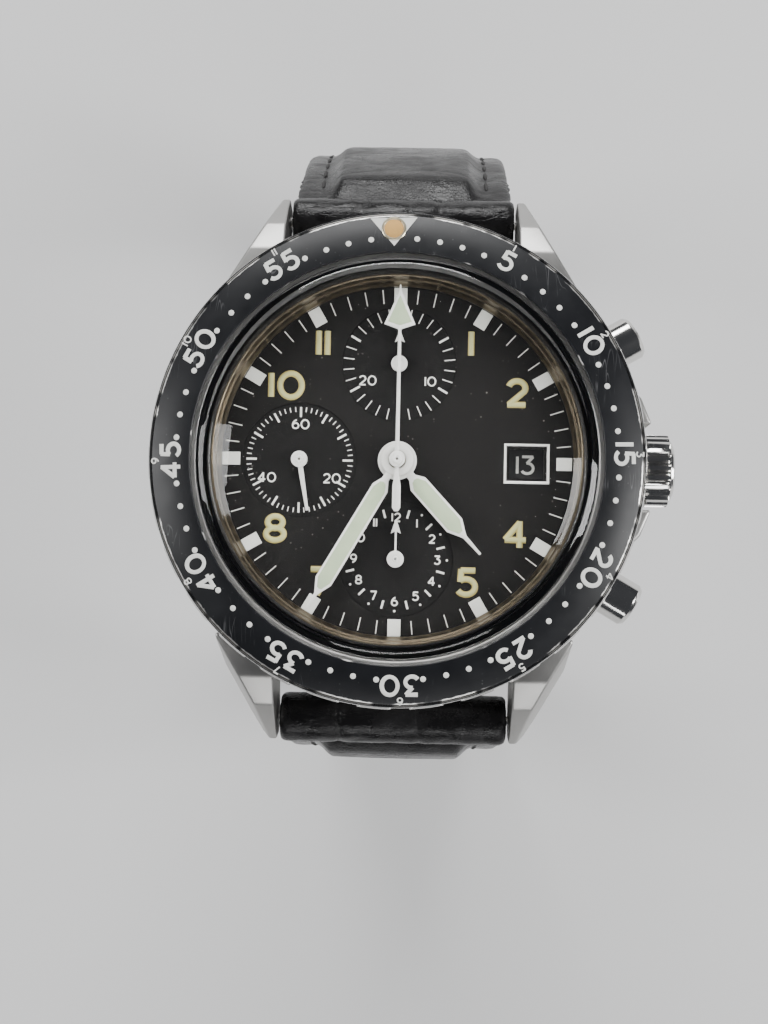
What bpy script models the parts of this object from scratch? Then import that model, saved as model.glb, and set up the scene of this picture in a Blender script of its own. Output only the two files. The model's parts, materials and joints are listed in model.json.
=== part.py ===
"""Self-winding pilot's chronograph on a leather strap, closed as it is worn.

+Z is the dial's normal, +Y is 12 o'clock and +X is the crown. The origin is on the flat underside of
the strap, straight below the dial's centre. Sizes are millimetres. Heights named *_LOW and *_TOP are
above the case back's flat face, which is CASE_Z above the origin.
"""

import math

import bmesh
import bpy
from mathutils import Matrix, Vector

MM = 0.001
FINE = 56  # steps round a large ring
MEDIUM = 28  # steps round a hub or a small ring
COARSE = 12  # steps round an arbor or a pin

# Driving sizes
CASE_Z = 48.0  # case back's flat face above the face that the watch stands on
BEZEL_R = 20.5
MOVEMENT_R = 14.8
LUG_GAP = 20.0
LUG_TIP_Y = 23.75
BAR_Y = 21.8  # spring bars from the dial's axis
BAR_Z = 2.6
STEM_Z = 5.0  # height of the crown's and pushers' axes
COUNTER_OFFSET = 8.2  # sub-dials from the dial's centre
GAP = 0.15  # between fixed neighbours
RUN = 0.1  # round a turning arbor

# Case
BACK_FACE_R = 15.2
BACK_FLOOR = 1.0
BACK_FLANGE_TOP = 1.35
MID_LOW = 1.7
MID_TOP = 9.3
MID_R = BEZEL_R - 0.9
HOLDER_WALL = 0.5
BORE_R = MOVEMENT_R + GAP + HOLDER_WALL + 0.25
LOWER_BORE_R = BORE_R + 1.5
LOWER_BORE_TOP = 3.2
THREAD_WALL = 1.1
DIAL_R = BORE_R - 0.3
CRYSTAL_WALL = 1.1
CRYSTAL_R = BORE_R + 0.75
LEDGE_Z = 8.75
NECK_WALL = 0.6
NECK_IN_R = CRYSTAL_R + GAP
NECK_R = NECK_IN_R + NECK_WALL
NECK_TOP = 11.4
LUG_WIDTH = 4.9
GUARD_IN_Y = 3.6
GUARD_OUT_X = BEZEL_R + 0.8

# Bezel
GRIPS = 30
GRIP_DEPTH = 0.55
BEZEL_LOW = MID_TOP + 0.4
BEZEL_BORE_R = NECK_R + 0.35
INSERT_LOW = 12.0
INSERT_THICK = 0.4
INSERT_RISE = 0.45  # how much higher its inner edge is
INSERT_IN_R = CRYSTAL_R + 0.45
INSERT_OUT_R = BEZEL_R - 0.45
PIP_R = 0.85
PIP_AT = 18.9
PIP_TURN = 1.9  # degrees anticlockwise that the bezel stands from the dial

# Crystal
CRYSTAL_LOW = LEDGE_Z + 0.2
CRYSTAL_EDGE = 13.2
CRYSTAL_TOP = 15.5
DOME_STEPS = 6

# Dial, date ring and hands
DIAL_LOW = 8.3
DIAL_TOP = 8.75
RECESS = 0.2
COUNTER_R = 4.75
DATE_AT = 10.8
DATE_WIDE = 2.9
DATE_HIGH = 2.5
DATE_RIM = 0.5
DATE_LOW = 7.35
DATE_RING_IN_R = 9.3
DATE_RING_OUT_R = MOVEMENT_R - 0.5
HOUR_LOW = 9.5
MINUTE_LOW = 10.1
SECONDS_LOW = 10.7
SMALL_HAND_LOW = 9.05
HAND_THICK = 0.2
HOUR_ANGLE = 137.5  # degrees clockwise from 12 o'clock
MINUTE_ANGLE = 210.0
RUNNING_ANGLE = 170.0

# Movement, from the case back upwards
ROTOR_LOW = 1.25
ROTOR_WEB = 1.6
ROTOR_TOP = 2.4
ROTOR_WEIGHT_IN_R = 10.4
BRIDGE_LOW = 2.7
BRIDGE_TOP = 3.05
RUNNER_LOW = 3.2
TRAIN_LOW = 3.7
PLATE_LOW = 5.9
PLATE_TOP = 7.0
WORKS_LOW = 7.15  # motion works under the dial
CHRONO_ARBOR_R = 0.22
CANNON_R = 0.75
HOUR_PIPE_R = 1.15
SMALL_ARBOR_R = 0.25

# Crown and pushers
CROWN_R = 3.1
CROWN_IN_X = BEZEL_R - 0.3
CROWN_LENGTH = 3.4
FLUTES = 24
STEM_R = 0.5
TUBE_R = 1.25
TUBE_BORE_R = 0.75
PUSHER_ANGLE = 30.0
PUSHER_R = 1.9
PUSHER_STEM_R = 0.6
PUSHER_IN = BEZEL_R + 0.3
PUSHER_LENGTH = 2.7

# Strap and buckle; heights named *_Z are above the face that the watch stands on
STRAP_ROOT_HALF = LUG_GAP / 2 - 0.25
STRAP_END_HALF = 9.0
ROOT_THICK = 3.4
END_THICK = 1.9
ROLL_R = 2.1
BAR_R = 0.9
BAR_TIP_R = 0.45
TUNNEL_R = BAR_R + 0.25
TAIL_Z = 2.4  # middle of the outer layer under the buckle
INNER_Z = 5.2  # middle of the inner layer
TAIL_RISE = 9.5  # how far up the short half the tail reaches
HINGE_Y = -7.0
HINGE_R = 0.6
HINGE_ROLL_R = 1.6
KEEPER_WIDE = 4.5
KEEPER_WALL = 1.0
LOOSE_KEEPER_Y = 8.5
FRAME_END_Y = -18.2
FRAME_IN_X = STRAP_END_HALF + 0.6
FRAME_OUT_X = FRAME_IN_X + 1.7
TONGUE_HALF = 0.8
HOLE_PITCH = 6.0
HOLE_R = 0.75


# ---------------------------------------------------------------- scene and materials


def clear_scene():
    for obj in list(bpy.data.objects):
        bpy.data.objects.remove(obj, do_unlink=True)


def make_collection(name, hidden=False):
    collection = bpy.data.collections.new(name)
    bpy.context.scene.collection.children.link(collection)
    collection.hide_render = hidden
    return collection


def finish(name, colour, roughness, metallic=0.0):
    material = bpy.data.materials.new(name)
    material.use_nodes = True
    shader = material.node_tree.nodes["Principled BSDF"]
    shader.inputs["Base Color"].default_value = (*colour, 1.0)
    shader.inputs["Roughness"].default_value = roughness
    shader.inputs["Metallic"].default_value = metallic
    return material


clear_scene()
WATCH = make_collection("chronograph_wristwatch")
CUTTERS = make_collection("cutters", hidden=True)

STEEL = finish("steel", (0.62, 0.61, 0.59), 0.22, 1.0)
BLACK_ALUMINIUM = finish("black_aluminium", (0.02, 0.02, 0.022), 0.35, 0.3)
ACRYLIC = finish("acrylic", (0.9, 0.9, 0.88), 0.05)
DIAL_BLACK = finish("dial_black", (0.018, 0.018, 0.018), 0.7)
WHITE = finish("white_paint", (0.8, 0.8, 0.76), 0.45)
LUME = finish("lume", (0.62, 0.5, 0.3), 0.8)
BRASS = finish("brass", (0.62, 0.45, 0.2), 0.35, 1.0)
LEATHER = finish("leather", (0.02, 0.018, 0.016), 0.5)
RUBBER = finish("gasket_rubber", (0.02, 0.02, 0.02), 0.8)
BLUED_STEEL = finish("blued_steel", (0.03, 0.05, 0.2), 0.3, 1.0)


# ---------------------------------------------------------------- shared shapes


def datum(name, at=(0, 0, 0), turn_deg=0.0, parent=None):
    empty = bpy.data.objects.new(name, None)
    empty.location = Vector(at) * MM
    empty.rotation_euler = (0, 0, math.radians(turn_deg))
    empty.parent = parent
    WATCH.objects.link(empty)
    return empty


CASE = datum("case_datum", (0, 0, CASE_Z))
CROWN_AXIS = datum("crown_axis", (0, 0, STEM_Z), 0, CASE)


def place(name, mesh, material, parent=CASE, at=(0, 0, 0), turn=(0, 0, 0)):
    """An object of the watch, or a cutter when it has no material."""
    mesh.shade_smooth()
    mesh.set_sharp_from_angle(angle=math.radians(30))
    obj = bpy.data.objects.new(name, mesh)
    obj.location = Vector(at) * MM
    obj.rotation_euler = [math.radians(a) for a in turn]
    obj.parent = parent
    if material is None:
        obj.hide_render = True
        obj.display_type = "WIRE"
        CUTTERS.objects.link(obj)
    else:
        mesh.materials.append(material)
        WATCH.objects.link(obj)
    return obj


def to_mesh(name, shape):
    bmesh.ops.recalc_face_normals(shape, faces=shape.faces)
    mesh = bpy.data.meshes.new(name)
    shape.to_mesh(mesh)
    shape.free()
    return mesh


def clockwise(profile):
    """The profile in the order that makes a turned shape face outwards: down its outer side."""
    area = sum(a[0] * b[1] - b[0] * a[1] for a, b in zip(profile, profile[1:] + profile[:1]))
    return profile if area < 0 else profile[::-1]


def turned(name, profile, material, steps=FINE, **where):
    """A profile of (radius, height) points turned round Z. One that ends on the axis is left open there."""
    points = clockwise(profile)
    on_axis = [i for i, (radius, _) in enumerate(points) if radius == 0]
    if on_axis:
        top = max(on_axis, key=lambda i: points[i][1])
        points = points[top:] + points[:top]
    mesh = bpy.data.meshes.new(name)
    edges = [(i, i + 1) for i in range(len(points) - 1)]
    if not on_axis:
        edges.append((len(points) - 1, 0))
    mesh.from_pydata([(r * MM, 0, z * MM) for r, z in points], edges, [])
    obj = place(name, mesh, material, **where)
    screw = obj.modifiers.new("turn", "SCREW")
    screw.angle = 2 * math.pi
    screw.steps = screw.render_steps = steps
    screw.use_merge_vertices = True
    screw.merge_threshold = 0.00001
    screw.use_smooth_shade = True
    return obj


def fluted(name, profile, material, flutes, parts, deep_from, depth, **where):
    """A turned shape whose outer points step in by depth once in every flute's parts."""
    shape = bmesh.new()
    loop = [shape.verts.new((r * MM, 0, z * MM)) for r, z in profile]
    edges = [shape.edges.new((a, b)) for a, b in zip(loop, loop[1:])]
    if profile[0][0] > 0:
        edges.append(shape.edges.new((loop[-1], loop[0])))
    bmesh.ops.spin(
        shape, geom=loop + edges, cent=(0, 0, 0), axis=(0, 0, 1), angle=2 * math.pi,
        steps=flutes * parts, use_merge=True,
    )
    bmesh.ops.remove_doubles(shape, verts=shape.verts, dist=1e-6)
    for vert in shape.verts:
        radius = vert.co.xy.length
        station = round(math.atan2(vert.co.y, vert.co.x) / (2 * math.pi) * flutes * parts)
        if radius > deep_from * MM and station % parts == parts - 1:
            vert.co.xy *= (radius - depth * MM) / radius
    return place(name, to_mesh(name, shape), material, **where)


def prism(name, outline, low, high, material, **where):
    """An outline in XY, from low to high."""
    shape = bmesh.new()
    face = shape.faces.new([shape.verts.new((x * MM, y * MM, low * MM)) for x, y in outline])
    lifted = bmesh.ops.extrude_face_region(shape, geom=[face])["geom"]
    rise = (0, 0, (high - low) * MM)
    bmesh.ops.translate(shape, vec=rise, verts=[v for v in lifted if isinstance(v, bmesh.types.BMVert)])
    return place(name, to_mesh(name, shape), material, **where)


def side_prism(name, outline, half, material, centre_x=0.0, **where):
    """An outline in YZ, from centre_x - half to centre_x + half along X."""
    shape = bmesh.new()
    face = shape.faces.new([shape.verts.new(((centre_x - half) * MM, y * MM, z * MM)) for y, z in outline])
    moved = bmesh.ops.extrude_face_region(shape, geom=[face])["geom"]
    along = (2 * half * MM, 0, 0)
    bmesh.ops.translate(shape, vec=along, verts=[v for v in moved if isinstance(v, bmesh.types.BMVert)])
    return place(name, to_mesh(name, shape), material, **where)


def arc(radius, start, end, count, centre=(0.0, 0.0)):
    """Points on a circle, angles in degrees anticlockwise from +X."""
    angles = [math.radians(start + (end - start) * i / count) for i in range(count + 1)]
    return [(centre[0] + radius * math.cos(a), centre[1] + radius * math.sin(a)) for a in angles]


def circle(radius, count, centre=(0.0, 0.0)):
    return arc(radius, 0, 360, count, centre)[:-1]


def boxes_mesh(name, boxes):
    """Separate closed boxes, each given as its low and high corner."""
    shape = bmesh.new()
    for low, high in boxes:
        size = [(b - a) * MM for a, b in zip(low, high)]
        middle = [(a + b) / 2 * MM for a, b in zip(low, high)]
        bmesh.ops.create_cube(shape, size=1, matrix=Matrix.Translation(middle) @ Matrix.Diagonal((*size, 1)))
    return to_mesh(name, shape)


def rods_mesh(name, rods, sides=COARSE):
    """Separate closed cylinders, each given as its two end points and radius."""
    shape = bmesh.new()
    for start, end, radius in rods:
        start, end = Vector(start) * MM, Vector(end) * MM
        turn = (end - start).to_track_quat("Z", "Y").to_matrix().to_4x4()
        bmesh.ops.create_cone(
            shape, cap_ends=True, segments=sides, radius1=radius * MM, radius2=radius * MM,
            depth=(end - start).length, matrix=Matrix.Translation((start + end) / 2) @ turn,
        )
    return to_mesh(name, shape)


def combine(obj, other, operation):
    boolean = obj.modifiers.new(other.name, "BOOLEAN")
    boolean.operation = operation
    boolean.solver = "EXACT"
    boolean.object = other
    return obj


def cut(obj, cutter):
    return combine(obj, cutter, "DIFFERENCE")


def join(obj, other):
    return combine(obj, other, "UNION")


def drilled(obj, holes, sides=COARSE):
    """Cuts round holes, given as rods in the object's parent's frame."""
    cutter = place(obj.name + "_drill", rods_mesh(obj.name + "_drill", holes, sides), None, parent=obj.parent)
    return cut(obj, cutter)


def wire(name, points, radius, material, **where):
    """A round wire through the points, with closed ends."""
    curve = bpy.data.curves.new(name, "CURVE")
    curve.dimensions = "3D"
    curve.bevel_depth = radius * MM
    curve.bevel_resolution = 1
    curve.use_fill_caps = True
    spline = curve.splines.new("POLY")
    spline.points.add(len(points) - 1)
    for point, (x, y, z) in zip(spline.points, points):
        point.co = (x * MM, y * MM, z * MM, 1)
    curve.materials.append(material)
    obj = bpy.data.objects.new(name, curve)
    obj.parent = where.get("parent", CASE)
    obj.location = Vector(where.get("at", (0, 0, 0))) * MM
    WATCH.objects.link(obj)
    return obj


def coil(radius, pitch, turns, per_turn, start):
    """Points of a helix along X from start."""
    count = int(turns * per_turn)
    points = []
    for i in range(count + 1):
        angle = 2 * math.pi * i / per_turn
        points.append((start + pitch * i / per_turn, radius * math.cos(angle), radius * math.sin(angle)))
    return points


# ---------------------------------------------------------------- case


def lug_outline():
    """A lug seen from the side: a flat root, a rounded back and a tip that hangs below the case back."""
    return [
        (LUG_TIP_Y - 9.2, MID_LOW + 0.5), (LUG_TIP_Y - 9.2, MID_TOP - 0.4), (LUG_TIP_Y - 5.6, MID_TOP - 0.7),
        (LUG_TIP_Y - 3.2, MID_TOP - 1.9), (LUG_TIP_Y - 1.3, MID_TOP - 4.2), (LUG_TIP_Y, BAR_Z + 0.6),
        (LUG_TIP_Y - 0.4, BAR_Z - 1.5), (LUG_TIP_Y - 2.1, BAR_Z - 2.2), (LUG_TIP_Y - 5.3, BAR_Z - 1.3),
    ]


def make_lugs():
    """Four lugs as one group of closed blocks, each with its outer corner planed off."""
    half = LUG_GAP / 2
    shape = bmesh.new()
    face = shape.faces.new([shape.verts.new((half * MM, y * MM, z * MM)) for y, z in lug_outline()])
    moved = bmesh.ops.extrude_face_region(shape, geom=[face])["geom"]
    bmesh.ops.translate(
        shape, vec=(LUG_WIDTH * MM, 0, 0), verts=[v for v in moved if isinstance(v, bmesh.types.BMVert)]
    )
    plane_point = Vector(((half + LUG_WIDTH - 0.3), LUG_TIP_Y - 5.4, 0)) * MM
    plane_normal = Vector((5.4, 3.3, 1.1)).normalized()
    planed = bmesh.ops.bisect_plane(
        shape, geom=shape.verts[:] + shape.edges[:] + shape.faces[:], plane_co=plane_point,
        plane_no=plane_normal, clear_outer=True,
    )
    rim = [e for e in planed["geom_cut"] if isinstance(e, bmesh.types.BMEdge)]
    bmesh.ops.holes_fill(shape, edges=rim)
    for axis in ("X", "Y"):
        whole = shape.verts[:] + shape.edges[:] + shape.faces[:]
        bmesh.ops.mirror(shape, geom=whole, axis=axis, merge_dist=-1)
    return place("lugs", to_mesh("lugs", shape), None)


def make_guards():
    """Shoulders on both sides of the crown."""
    outline = [
        (BORE_R + 1.2, GUARD_IN_Y), (GUARD_OUT_X, GUARD_IN_Y), (GUARD_OUT_X - 0.9, GUARD_IN_Y + 2.2),
        (GUARD_OUT_X - 3.2, GUARD_IN_Y + 4.6), (BORE_R + 1.2, GUARD_IN_Y + 4.6),
    ]
    upper = prism("guard_upper", outline, MID_LOW + 1.3, MID_TOP - 0.6, None)
    lower = prism("guard_lower", [(x, -y) for x, y in outline[::-1]], MID_LOW + 1.3, MID_TOP - 0.6, None)
    return upper, lower


def radial(angle, inner, outer, radius, height=STEM_Z):
    """A rod along a radius of the case, for a hole."""
    c, s = math.cos(math.radians(angle)), math.sin(math.radians(angle))
    return (inner * c, inner * s, height), (outer * c, outer * s, height), radius


def build_mid_case():
    profile = [
        (NECK_IN_R, NECK_TOP), (NECK_R, NECK_TOP), (NECK_R, MID_TOP), (MID_R - 0.5, MID_TOP),
        (MID_R, MID_TOP - 0.5), (MID_R, MID_LOW + 1.1), (MID_R - 0.7, MID_LOW), (LOWER_BORE_R, MID_LOW),
        (LOWER_BORE_R, LOWER_BORE_TOP), (BORE_R, LOWER_BORE_TOP), (BORE_R, LEDGE_Z), (NECK_IN_R, LEDGE_Z),
    ]
    case = turned("mid_case", profile, STEEL)
    join(case, make_lugs())
    for guard in make_guards():
        join(case, guard)
    inner, outer = BORE_R - 1.0, GUARD_OUT_X + 1
    holes = [radial(a, inner, outer, TUBE_R + 0.1) for a in (0, PUSHER_ANGLE, -PUSHER_ANGLE)]
    reach = LUG_GAP / 2 + 1.5
    for side in (1, -1):
        holes.append(((-reach, side * BAR_Y, BAR_Z), (reach, side * BAR_Y, BAR_Z), BAR_TIP_R + 0.15))
    drilled(case, holes, 16)


def build_case_back():
    thread_r = LOWER_BORE_R - GAP
    profile = [
        (0, BACK_FLOOR), (thread_r - THREAD_WALL, BACK_FLOOR), (thread_r - THREAD_WALL, LOWER_BORE_TOP - 0.2),
        (thread_r, LOWER_BORE_TOP - 0.2), (thread_r, BACK_FLANGE_TOP), (LOWER_BORE_R + 0.7, BACK_FLANGE_TOP),
        (LOWER_BORE_R + 0.7, 0.9), (BACK_FACE_R, 0), (0, 0),
    ]
    back = turned("case_back", profile, STEEL, 48)
    notches = []
    for i in range(6):
        notches.append(radial(60 * i + 30, BACK_FACE_R + 0.4, LOWER_BORE_R + 2, 0.7, 0.1))
    drilled(back, notches, 8)
    gasket = [
        (LOWER_BORE_R + 0.1, 1.42), (LOWER_BORE_R + 0.6, 1.42), (LOWER_BORE_R + 0.6, 1.63),
        (LOWER_BORE_R + 0.1, 1.63),
    ]
    turned("case_back_gasket", gasket, RUBBER, 40)


def build_bezel():
    rim_r = INSERT_OUT_R + 0.1
    slope = INSERT_RISE / (INSERT_OUT_R - INSERT_IN_R)
    profile = [
        (BEZEL_BORE_R, INSERT_LOW - 0.15), (rim_r, INSERT_LOW - 0.15), (rim_r, INSERT_LOW + 0.3),
        (BEZEL_R - 0.1, INSERT_LOW + 0.15), (BEZEL_R, INSERT_LOW - 0.4), (BEZEL_R, BEZEL_LOW + 0.5),
        (BEZEL_R - 0.6, BEZEL_LOW), (BEZEL_BORE_R, BEZEL_LOW),
    ]
    fluted("bezel_ring", profile, STEEL, GRIPS, 4, rim_r + 0.05, GRIP_DEPTH * 0.5)
    inner = INSERT_LOW + INSERT_RISE
    insert = [
        (INSERT_IN_R, inner + INSERT_THICK), (INSERT_OUT_R, INSERT_LOW + INSERT_THICK),
        (INSERT_OUT_R, INSERT_LOW), (INSERT_IN_R, inner),
    ]
    insert = turned("bezel_insert", insert, BLACK_ALUMINIUM)
    turn = math.radians(PIP_TURN)
    x, y = -PIP_AT * math.sin(turn), PIP_AT * math.cos(turn)
    drilled(insert, [((x, y, INSERT_LOW - 1), (x, y, INSERT_LOW + 2), PIP_R + 0.1)], 20)
    pip_low = INSERT_LOW + 0.02 + slope * (INSERT_OUT_R - PIP_AT)
    pip = [
        (0, pip_low + 0.65), (PIP_R * 0.6, pip_low + 0.57), (PIP_R, pip_low + 0.4), (PIP_R, pip_low),
        (0, pip_low),
    ]
    turned("bezel_pip", pip, LUME, 20, at=(x, y, 0))
    click = [
        (NECK_R + 1.0, MID_TOP + 0.12), (NECK_R + 1.0, MID_TOP + 0.27),
        (NECK_R + 1.7, MID_TOP + 0.27), (NECK_R + 1.7, MID_TOP + 0.12),
    ]
    turned("bezel_click_spring", click, STEEL, 40)
    hold_z = MID_TOP + 1.2
    retainer = [
        (NECK_R + 0.08, hold_z), (NECK_R + 0.08, hold_z + 0.25), (NECK_R + 0.27, hold_z + 0.25),
        (NECK_R + 0.27, hold_z),
    ]
    turned("bezel_retaining_wire", retainer, STEEL, 40)


def build_crystal():
    """A domed acrylic glass with an upright wall, and the metal ring that spreads it from inside."""
    inner_r = CRYSTAL_R - CRYSTAL_WALL
    rim_r = CRYSTAL_R - 0.45
    outer, inner = [], []
    for i in range(DOME_STEPS):
        share = i / DOME_STEPS
        outer.append((rim_r * share, CRYSTAL_TOP - (CRYSTAL_TOP - CRYSTAL_EDGE - 0.35) * share**2))
        inner.append(((inner_r - 0.3) * share, CRYSTAL_TOP - 1.5 - (CRYSTAL_TOP - CRYSTAL_EDGE) * share**2))
    profile = outer + [
        (rim_r, CRYSTAL_EDGE + 0.35), (CRYSTAL_R, CRYSTAL_EDGE), (CRYSTAL_R, CRYSTAL_LOW),
        (inner_r, CRYSTAL_LOW), (inner_r, CRYSTAL_EDGE - 1.6),
    ] + inner[::-1]
    turned("crystal", profile, ACRYLIC, 48)
    ring_r = inner_r - 0.1
    ring = [(ring_r - 0.25, 11.3), (ring_r, 11.3), (ring_r, 9.0), (ring_r - 0.6, 9.0), (ring_r - 0.6, 9.4)]
    turned("tension_ring", ring, BRASS, 40)


# ---------------------------------------------------------------- crown and pushers


def build_crown():
    """The crown and its stem turn and pull out together; the tube and the setting lever stay behind."""
    tip = CROWN_IN_X + CROWN_LENGTH
    hollow_r = TUBE_R + 0.35
    profile = [
        (0, CROWN_LENGTH), (CROWN_R - 0.7, CROWN_LENGTH), (CROWN_R, CROWN_LENGTH - 0.45), (CROWN_R, 0.35),
        (CROWN_R - 0.35, 0), (hollow_r, 0), (hollow_r, CROWN_LENGTH - 1.1), (0, CROWN_LENGTH - 1.1),
    ]
    along_x = {"parent": CROWN_AXIS, "turn": (0, 90, 0)}
    fluted("crown", profile, STEEL, FLUTES, 2, CROWN_R - 0.05, 0.22, at=(CROWN_IN_X, 0, 0), **along_x)
    stem_in = MOVEMENT_R - 5.3
    groove = 1.0
    stem_end = tip - 1.25
    stem = [
        (0, stem_end), (STEM_R, stem_end), (STEM_R, stem_in + 2 * groove),
        (STEM_R - 0.2, stem_in + 2 * groove),
        (STEM_R - 0.2, stem_in + groove), (STEM_R, stem_in + groove), (STEM_R, stem_in), (0, stem_in),
    ]
    turned("winding_stem", stem, STEEL, COARSE, **along_x)
    tube = [
        (TUBE_BORE_R, tip - 1.5), (TUBE_R, tip - 1.5), (TUBE_R, BORE_R + 0.4), (TUBE_BORE_R, BORE_R + 0.4),
    ]
    turned("crown_tube", tube, STEEL, 16, **along_x)
    lever = [
        (stem_in + groove + 0.15, 0.4), (stem_in + 2 * groove - 0.15, 0.4), (stem_in + 2 * groove - 0.15, 1.2),
        (stem_in + 3.2, 1.2), (stem_in + 3.2, 3.4), (stem_in - 0.4, 3.4), (stem_in - 0.4, 1.2),
        (stem_in + groove + 0.15, 1.2),
    ]
    prism("setting_lever", lever, -0.15, 0.15, STEEL, parent=CROWN_AXIS)


def build_pusher(name, angle):
    """A button, its tube in the case, and the spring in the hollow under its cap."""
    axis = datum(name + "_axis", (0, 0, STEM_Z), angle, CASE)
    along = {"parent": axis, "turn": (0, 90, 0)}
    tip = PUSHER_IN + PUSHER_LENGTH
    hollow_r = PUSHER_R - 0.35
    cap = [
        (0, tip), (PUSHER_R - 0.5, tip), (PUSHER_R, tip - 0.45), (PUSHER_R, PUSHER_IN), (hollow_r, PUSHER_IN),
        (hollow_r, tip - 0.8), (PUSHER_STEM_R, tip - 0.8), (PUSHER_STEM_R, MOVEMENT_R + 0.3),
        (0, MOVEMENT_R + 0.3),
    ]
    turned(name, cap, STEEL, 24, **along)
    tube_end = PUSHER_IN - 1.05
    tube = [
        (TUBE_BORE_R, tube_end), (TUBE_R, tube_end), (TUBE_R, BORE_R + 0.4), (TUBE_BORE_R, BORE_R + 0.4),
    ]
    turned(name + "_tube", tube, STEEL, 16, **along)
    spring_r = (hollow_r + PUSHER_STEM_R) / 2
    start = tube_end + 0.35
    room = PUSHER_LENGTH - 0.8 + PUSHER_IN - start - 0.3
    turns = 3
    wire(name + "_spring", coil(spring_r, room / turns, turns, 10, start), 0.14, STEEL, parent=axis)


# ---------------------------------------------------------------- dial and hands


def counter_places():
    """The sub-dials: the minute counter, the running seconds and the hour counter."""
    return [(0, COUNTER_OFFSET), (-COUNTER_OFFSET, 0), (0, -COUNTER_OFFSET)]


def build_dial():
    dial = turned("dial", [(0, DIAL_TOP), (DIAL_R, DIAL_TOP), (DIAL_R, DIAL_LOW), (0, DIAL_LOW)], DIAL_BLACK)
    half_w, half_h = DATE_WIDE / 2 + DATE_RIM, DATE_HIGH / 2 + DATE_RIM
    rim = place("date_rim", boxes_mesh("date_rim", [
        ((DATE_AT - half_w, -half_h, DIAL_LOW + 0.1), (DATE_AT + half_w, half_h, DIAL_TOP + 0.15)),
    ]), None)
    join(dial, rim)
    window = place("date_window", boxes_mesh("date_window", [
        (
            (DATE_AT - DATE_WIDE / 2, -DATE_HIGH / 2, DIAL_LOW - 1),
            (DATE_AT + DATE_WIDE / 2, DATE_HIGH / 2, 10),
        ),
    ]), None)
    cut(dial, window)
    recesses = [((x, y, DIAL_TOP - RECESS), (x, y, DIAL_TOP + 1), COUNTER_R) for x, y in counter_places()]
    drilled(dial, recesses, MEDIUM)
    holes = [((x, y, 7.5), (x, y, 9.5), SMALL_ARBOR_R + 0.25) for x, y in counter_places()]
    holes.append(((0, 0, 7.5), (0, 0, 9.5), HOUR_PIPE_R + 0.25))
    middle = place("dial_bores", rods_mesh("dial_bores", holes, 16), None)
    cut(dial, middle)
    ring = [
        (DATE_RING_IN_R, DATE_LOW + 0.25), (DATE_RING_OUT_R, DATE_LOW + 0.25), (DATE_RING_OUT_R, DATE_LOW),
        (DATE_RING_IN_R, DATE_LOW),
    ]
    turned("date_ring", ring, DIAL_BLACK, 40)


def hand_outline(hub_r, blade, tail):
    """A hub circle with a blade along +Y and a tail along -Y, each a list of (half width, distance)."""
    right_foot = math.asin(min(tail[0][0] / hub_r, 0.9)) if tail else 0.0
    blade_foot = math.asin(min(blade[0][0] / hub_r, 0.9))
    start, end = -90 + math.degrees(right_foot), 90 - math.degrees(blade_foot)
    right = arc(hub_r, start, end, 8)
    half = [(w, -d) for w, d in tail[::-1]] + right + [(w, d) for w, d in blade]
    left = [(-x, y) for x, y in half[::-1] if x > 1e-9]
    return half + left


def build_hand(name, outline, low, hub_r, bore_r, hub_high, turn, at=(0.0, 0.0)):
    """A flat hand with the raised collar that grips its arbor."""
    where = {"at": (*at, 0), "turn": (0, 0, -turn)}
    hand = prism(name, outline, low, low + HAND_THICK, WHITE, **where)
    collar_r, foot = hub_r - 0.12, low + 0.05
    collar = [(0, low + hub_high), (collar_r, low + hub_high), (collar_r, foot), (0, foot)]
    collar = turned(name + "_collar", collar, None, 16, **where)
    join(hand, collar)
    rod = ((0, 0, low - 1), (0, 0, low + 2), bore_r)
    bore = place(name + "_bore", rods_mesh(name + "_bore", [rod]), None, **where)
    return cut(hand, bore)


def build_hands():
    hour = hand_outline(1.6, [(0.35, 2.3), (0.82, 3.3), (0.82, 7.2), (0.2, 8.4), (0.1, 10.4)], [])
    build_hand("hour_hand", hour, HOUR_LOW, 1.6, HOUR_PIPE_R + 0.05, 0.3, HOUR_ANGLE)
    minute = hand_outline(1.35, [(0.3, 2.3), (0.72, 3.6), (0.72, 11.6), (0.18, 12.8), (0.1, 14.2)], [])
    build_hand("minute_hand", minute, MINUTE_LOW, 1.35, CANNON_R + 0.05, 0.3, MINUTE_ANGLE)
    arrow = [(0.15, 11.2), (1.3, 11.0), (0.05, 13.9)]
    seconds = hand_outline(0.65, [(0.16, 1.5)] + arrow, [(0.16, 1.2), (0.4, 2.0), (0.4, 4.2)])
    build_hand("chronograph_seconds_hand", seconds, SECONDS_LOW, 0.65, CHRONO_ARBOR_R + 0.05, 0.4, 0)
    low, bore = SMALL_HAND_LOW, SMALL_ARBOR_R + 0.05
    small = {"hub_r": 0.68, "bore_r": bore, "hub_high": 0.4}
    left, top, bottom = (-COUNTER_OFFSET, 0.0), (0.0, COUNTER_OFFSET), (0.0, -COUNTER_OFFSET)
    running = hand_outline(0.68, [(0.2, 1.2), (0.08, 4.35)], [(0.2, 1.0), (0.25, 1.5)])
    build_hand("running_seconds_hand", running, low, turn=RUNNING_ANGLE, at=left, **small)
    minutes = hand_outline(
        0.68, [(0.14, 1.2), (0.14, 1.9), (0.42, 1.8), (0.05, 2.7)], [(0.2, 0.9), (0.2, 1.3)]
    )
    build_hand("minute_counter_hand", minutes, low, turn=0, at=top, **small)
    hours = hand_outline(0.68, [(0.14, 1.2), (0.14, 2.2), (0.5, 2.1), (0.05, 3.3)], [(0.2, 0.9), (0.2, 1.3)])
    build_hand("hour_counter_hand", hours, low, turn=0, at=bottom, **small)


# ---------------------------------------------------------------- movement

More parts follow.
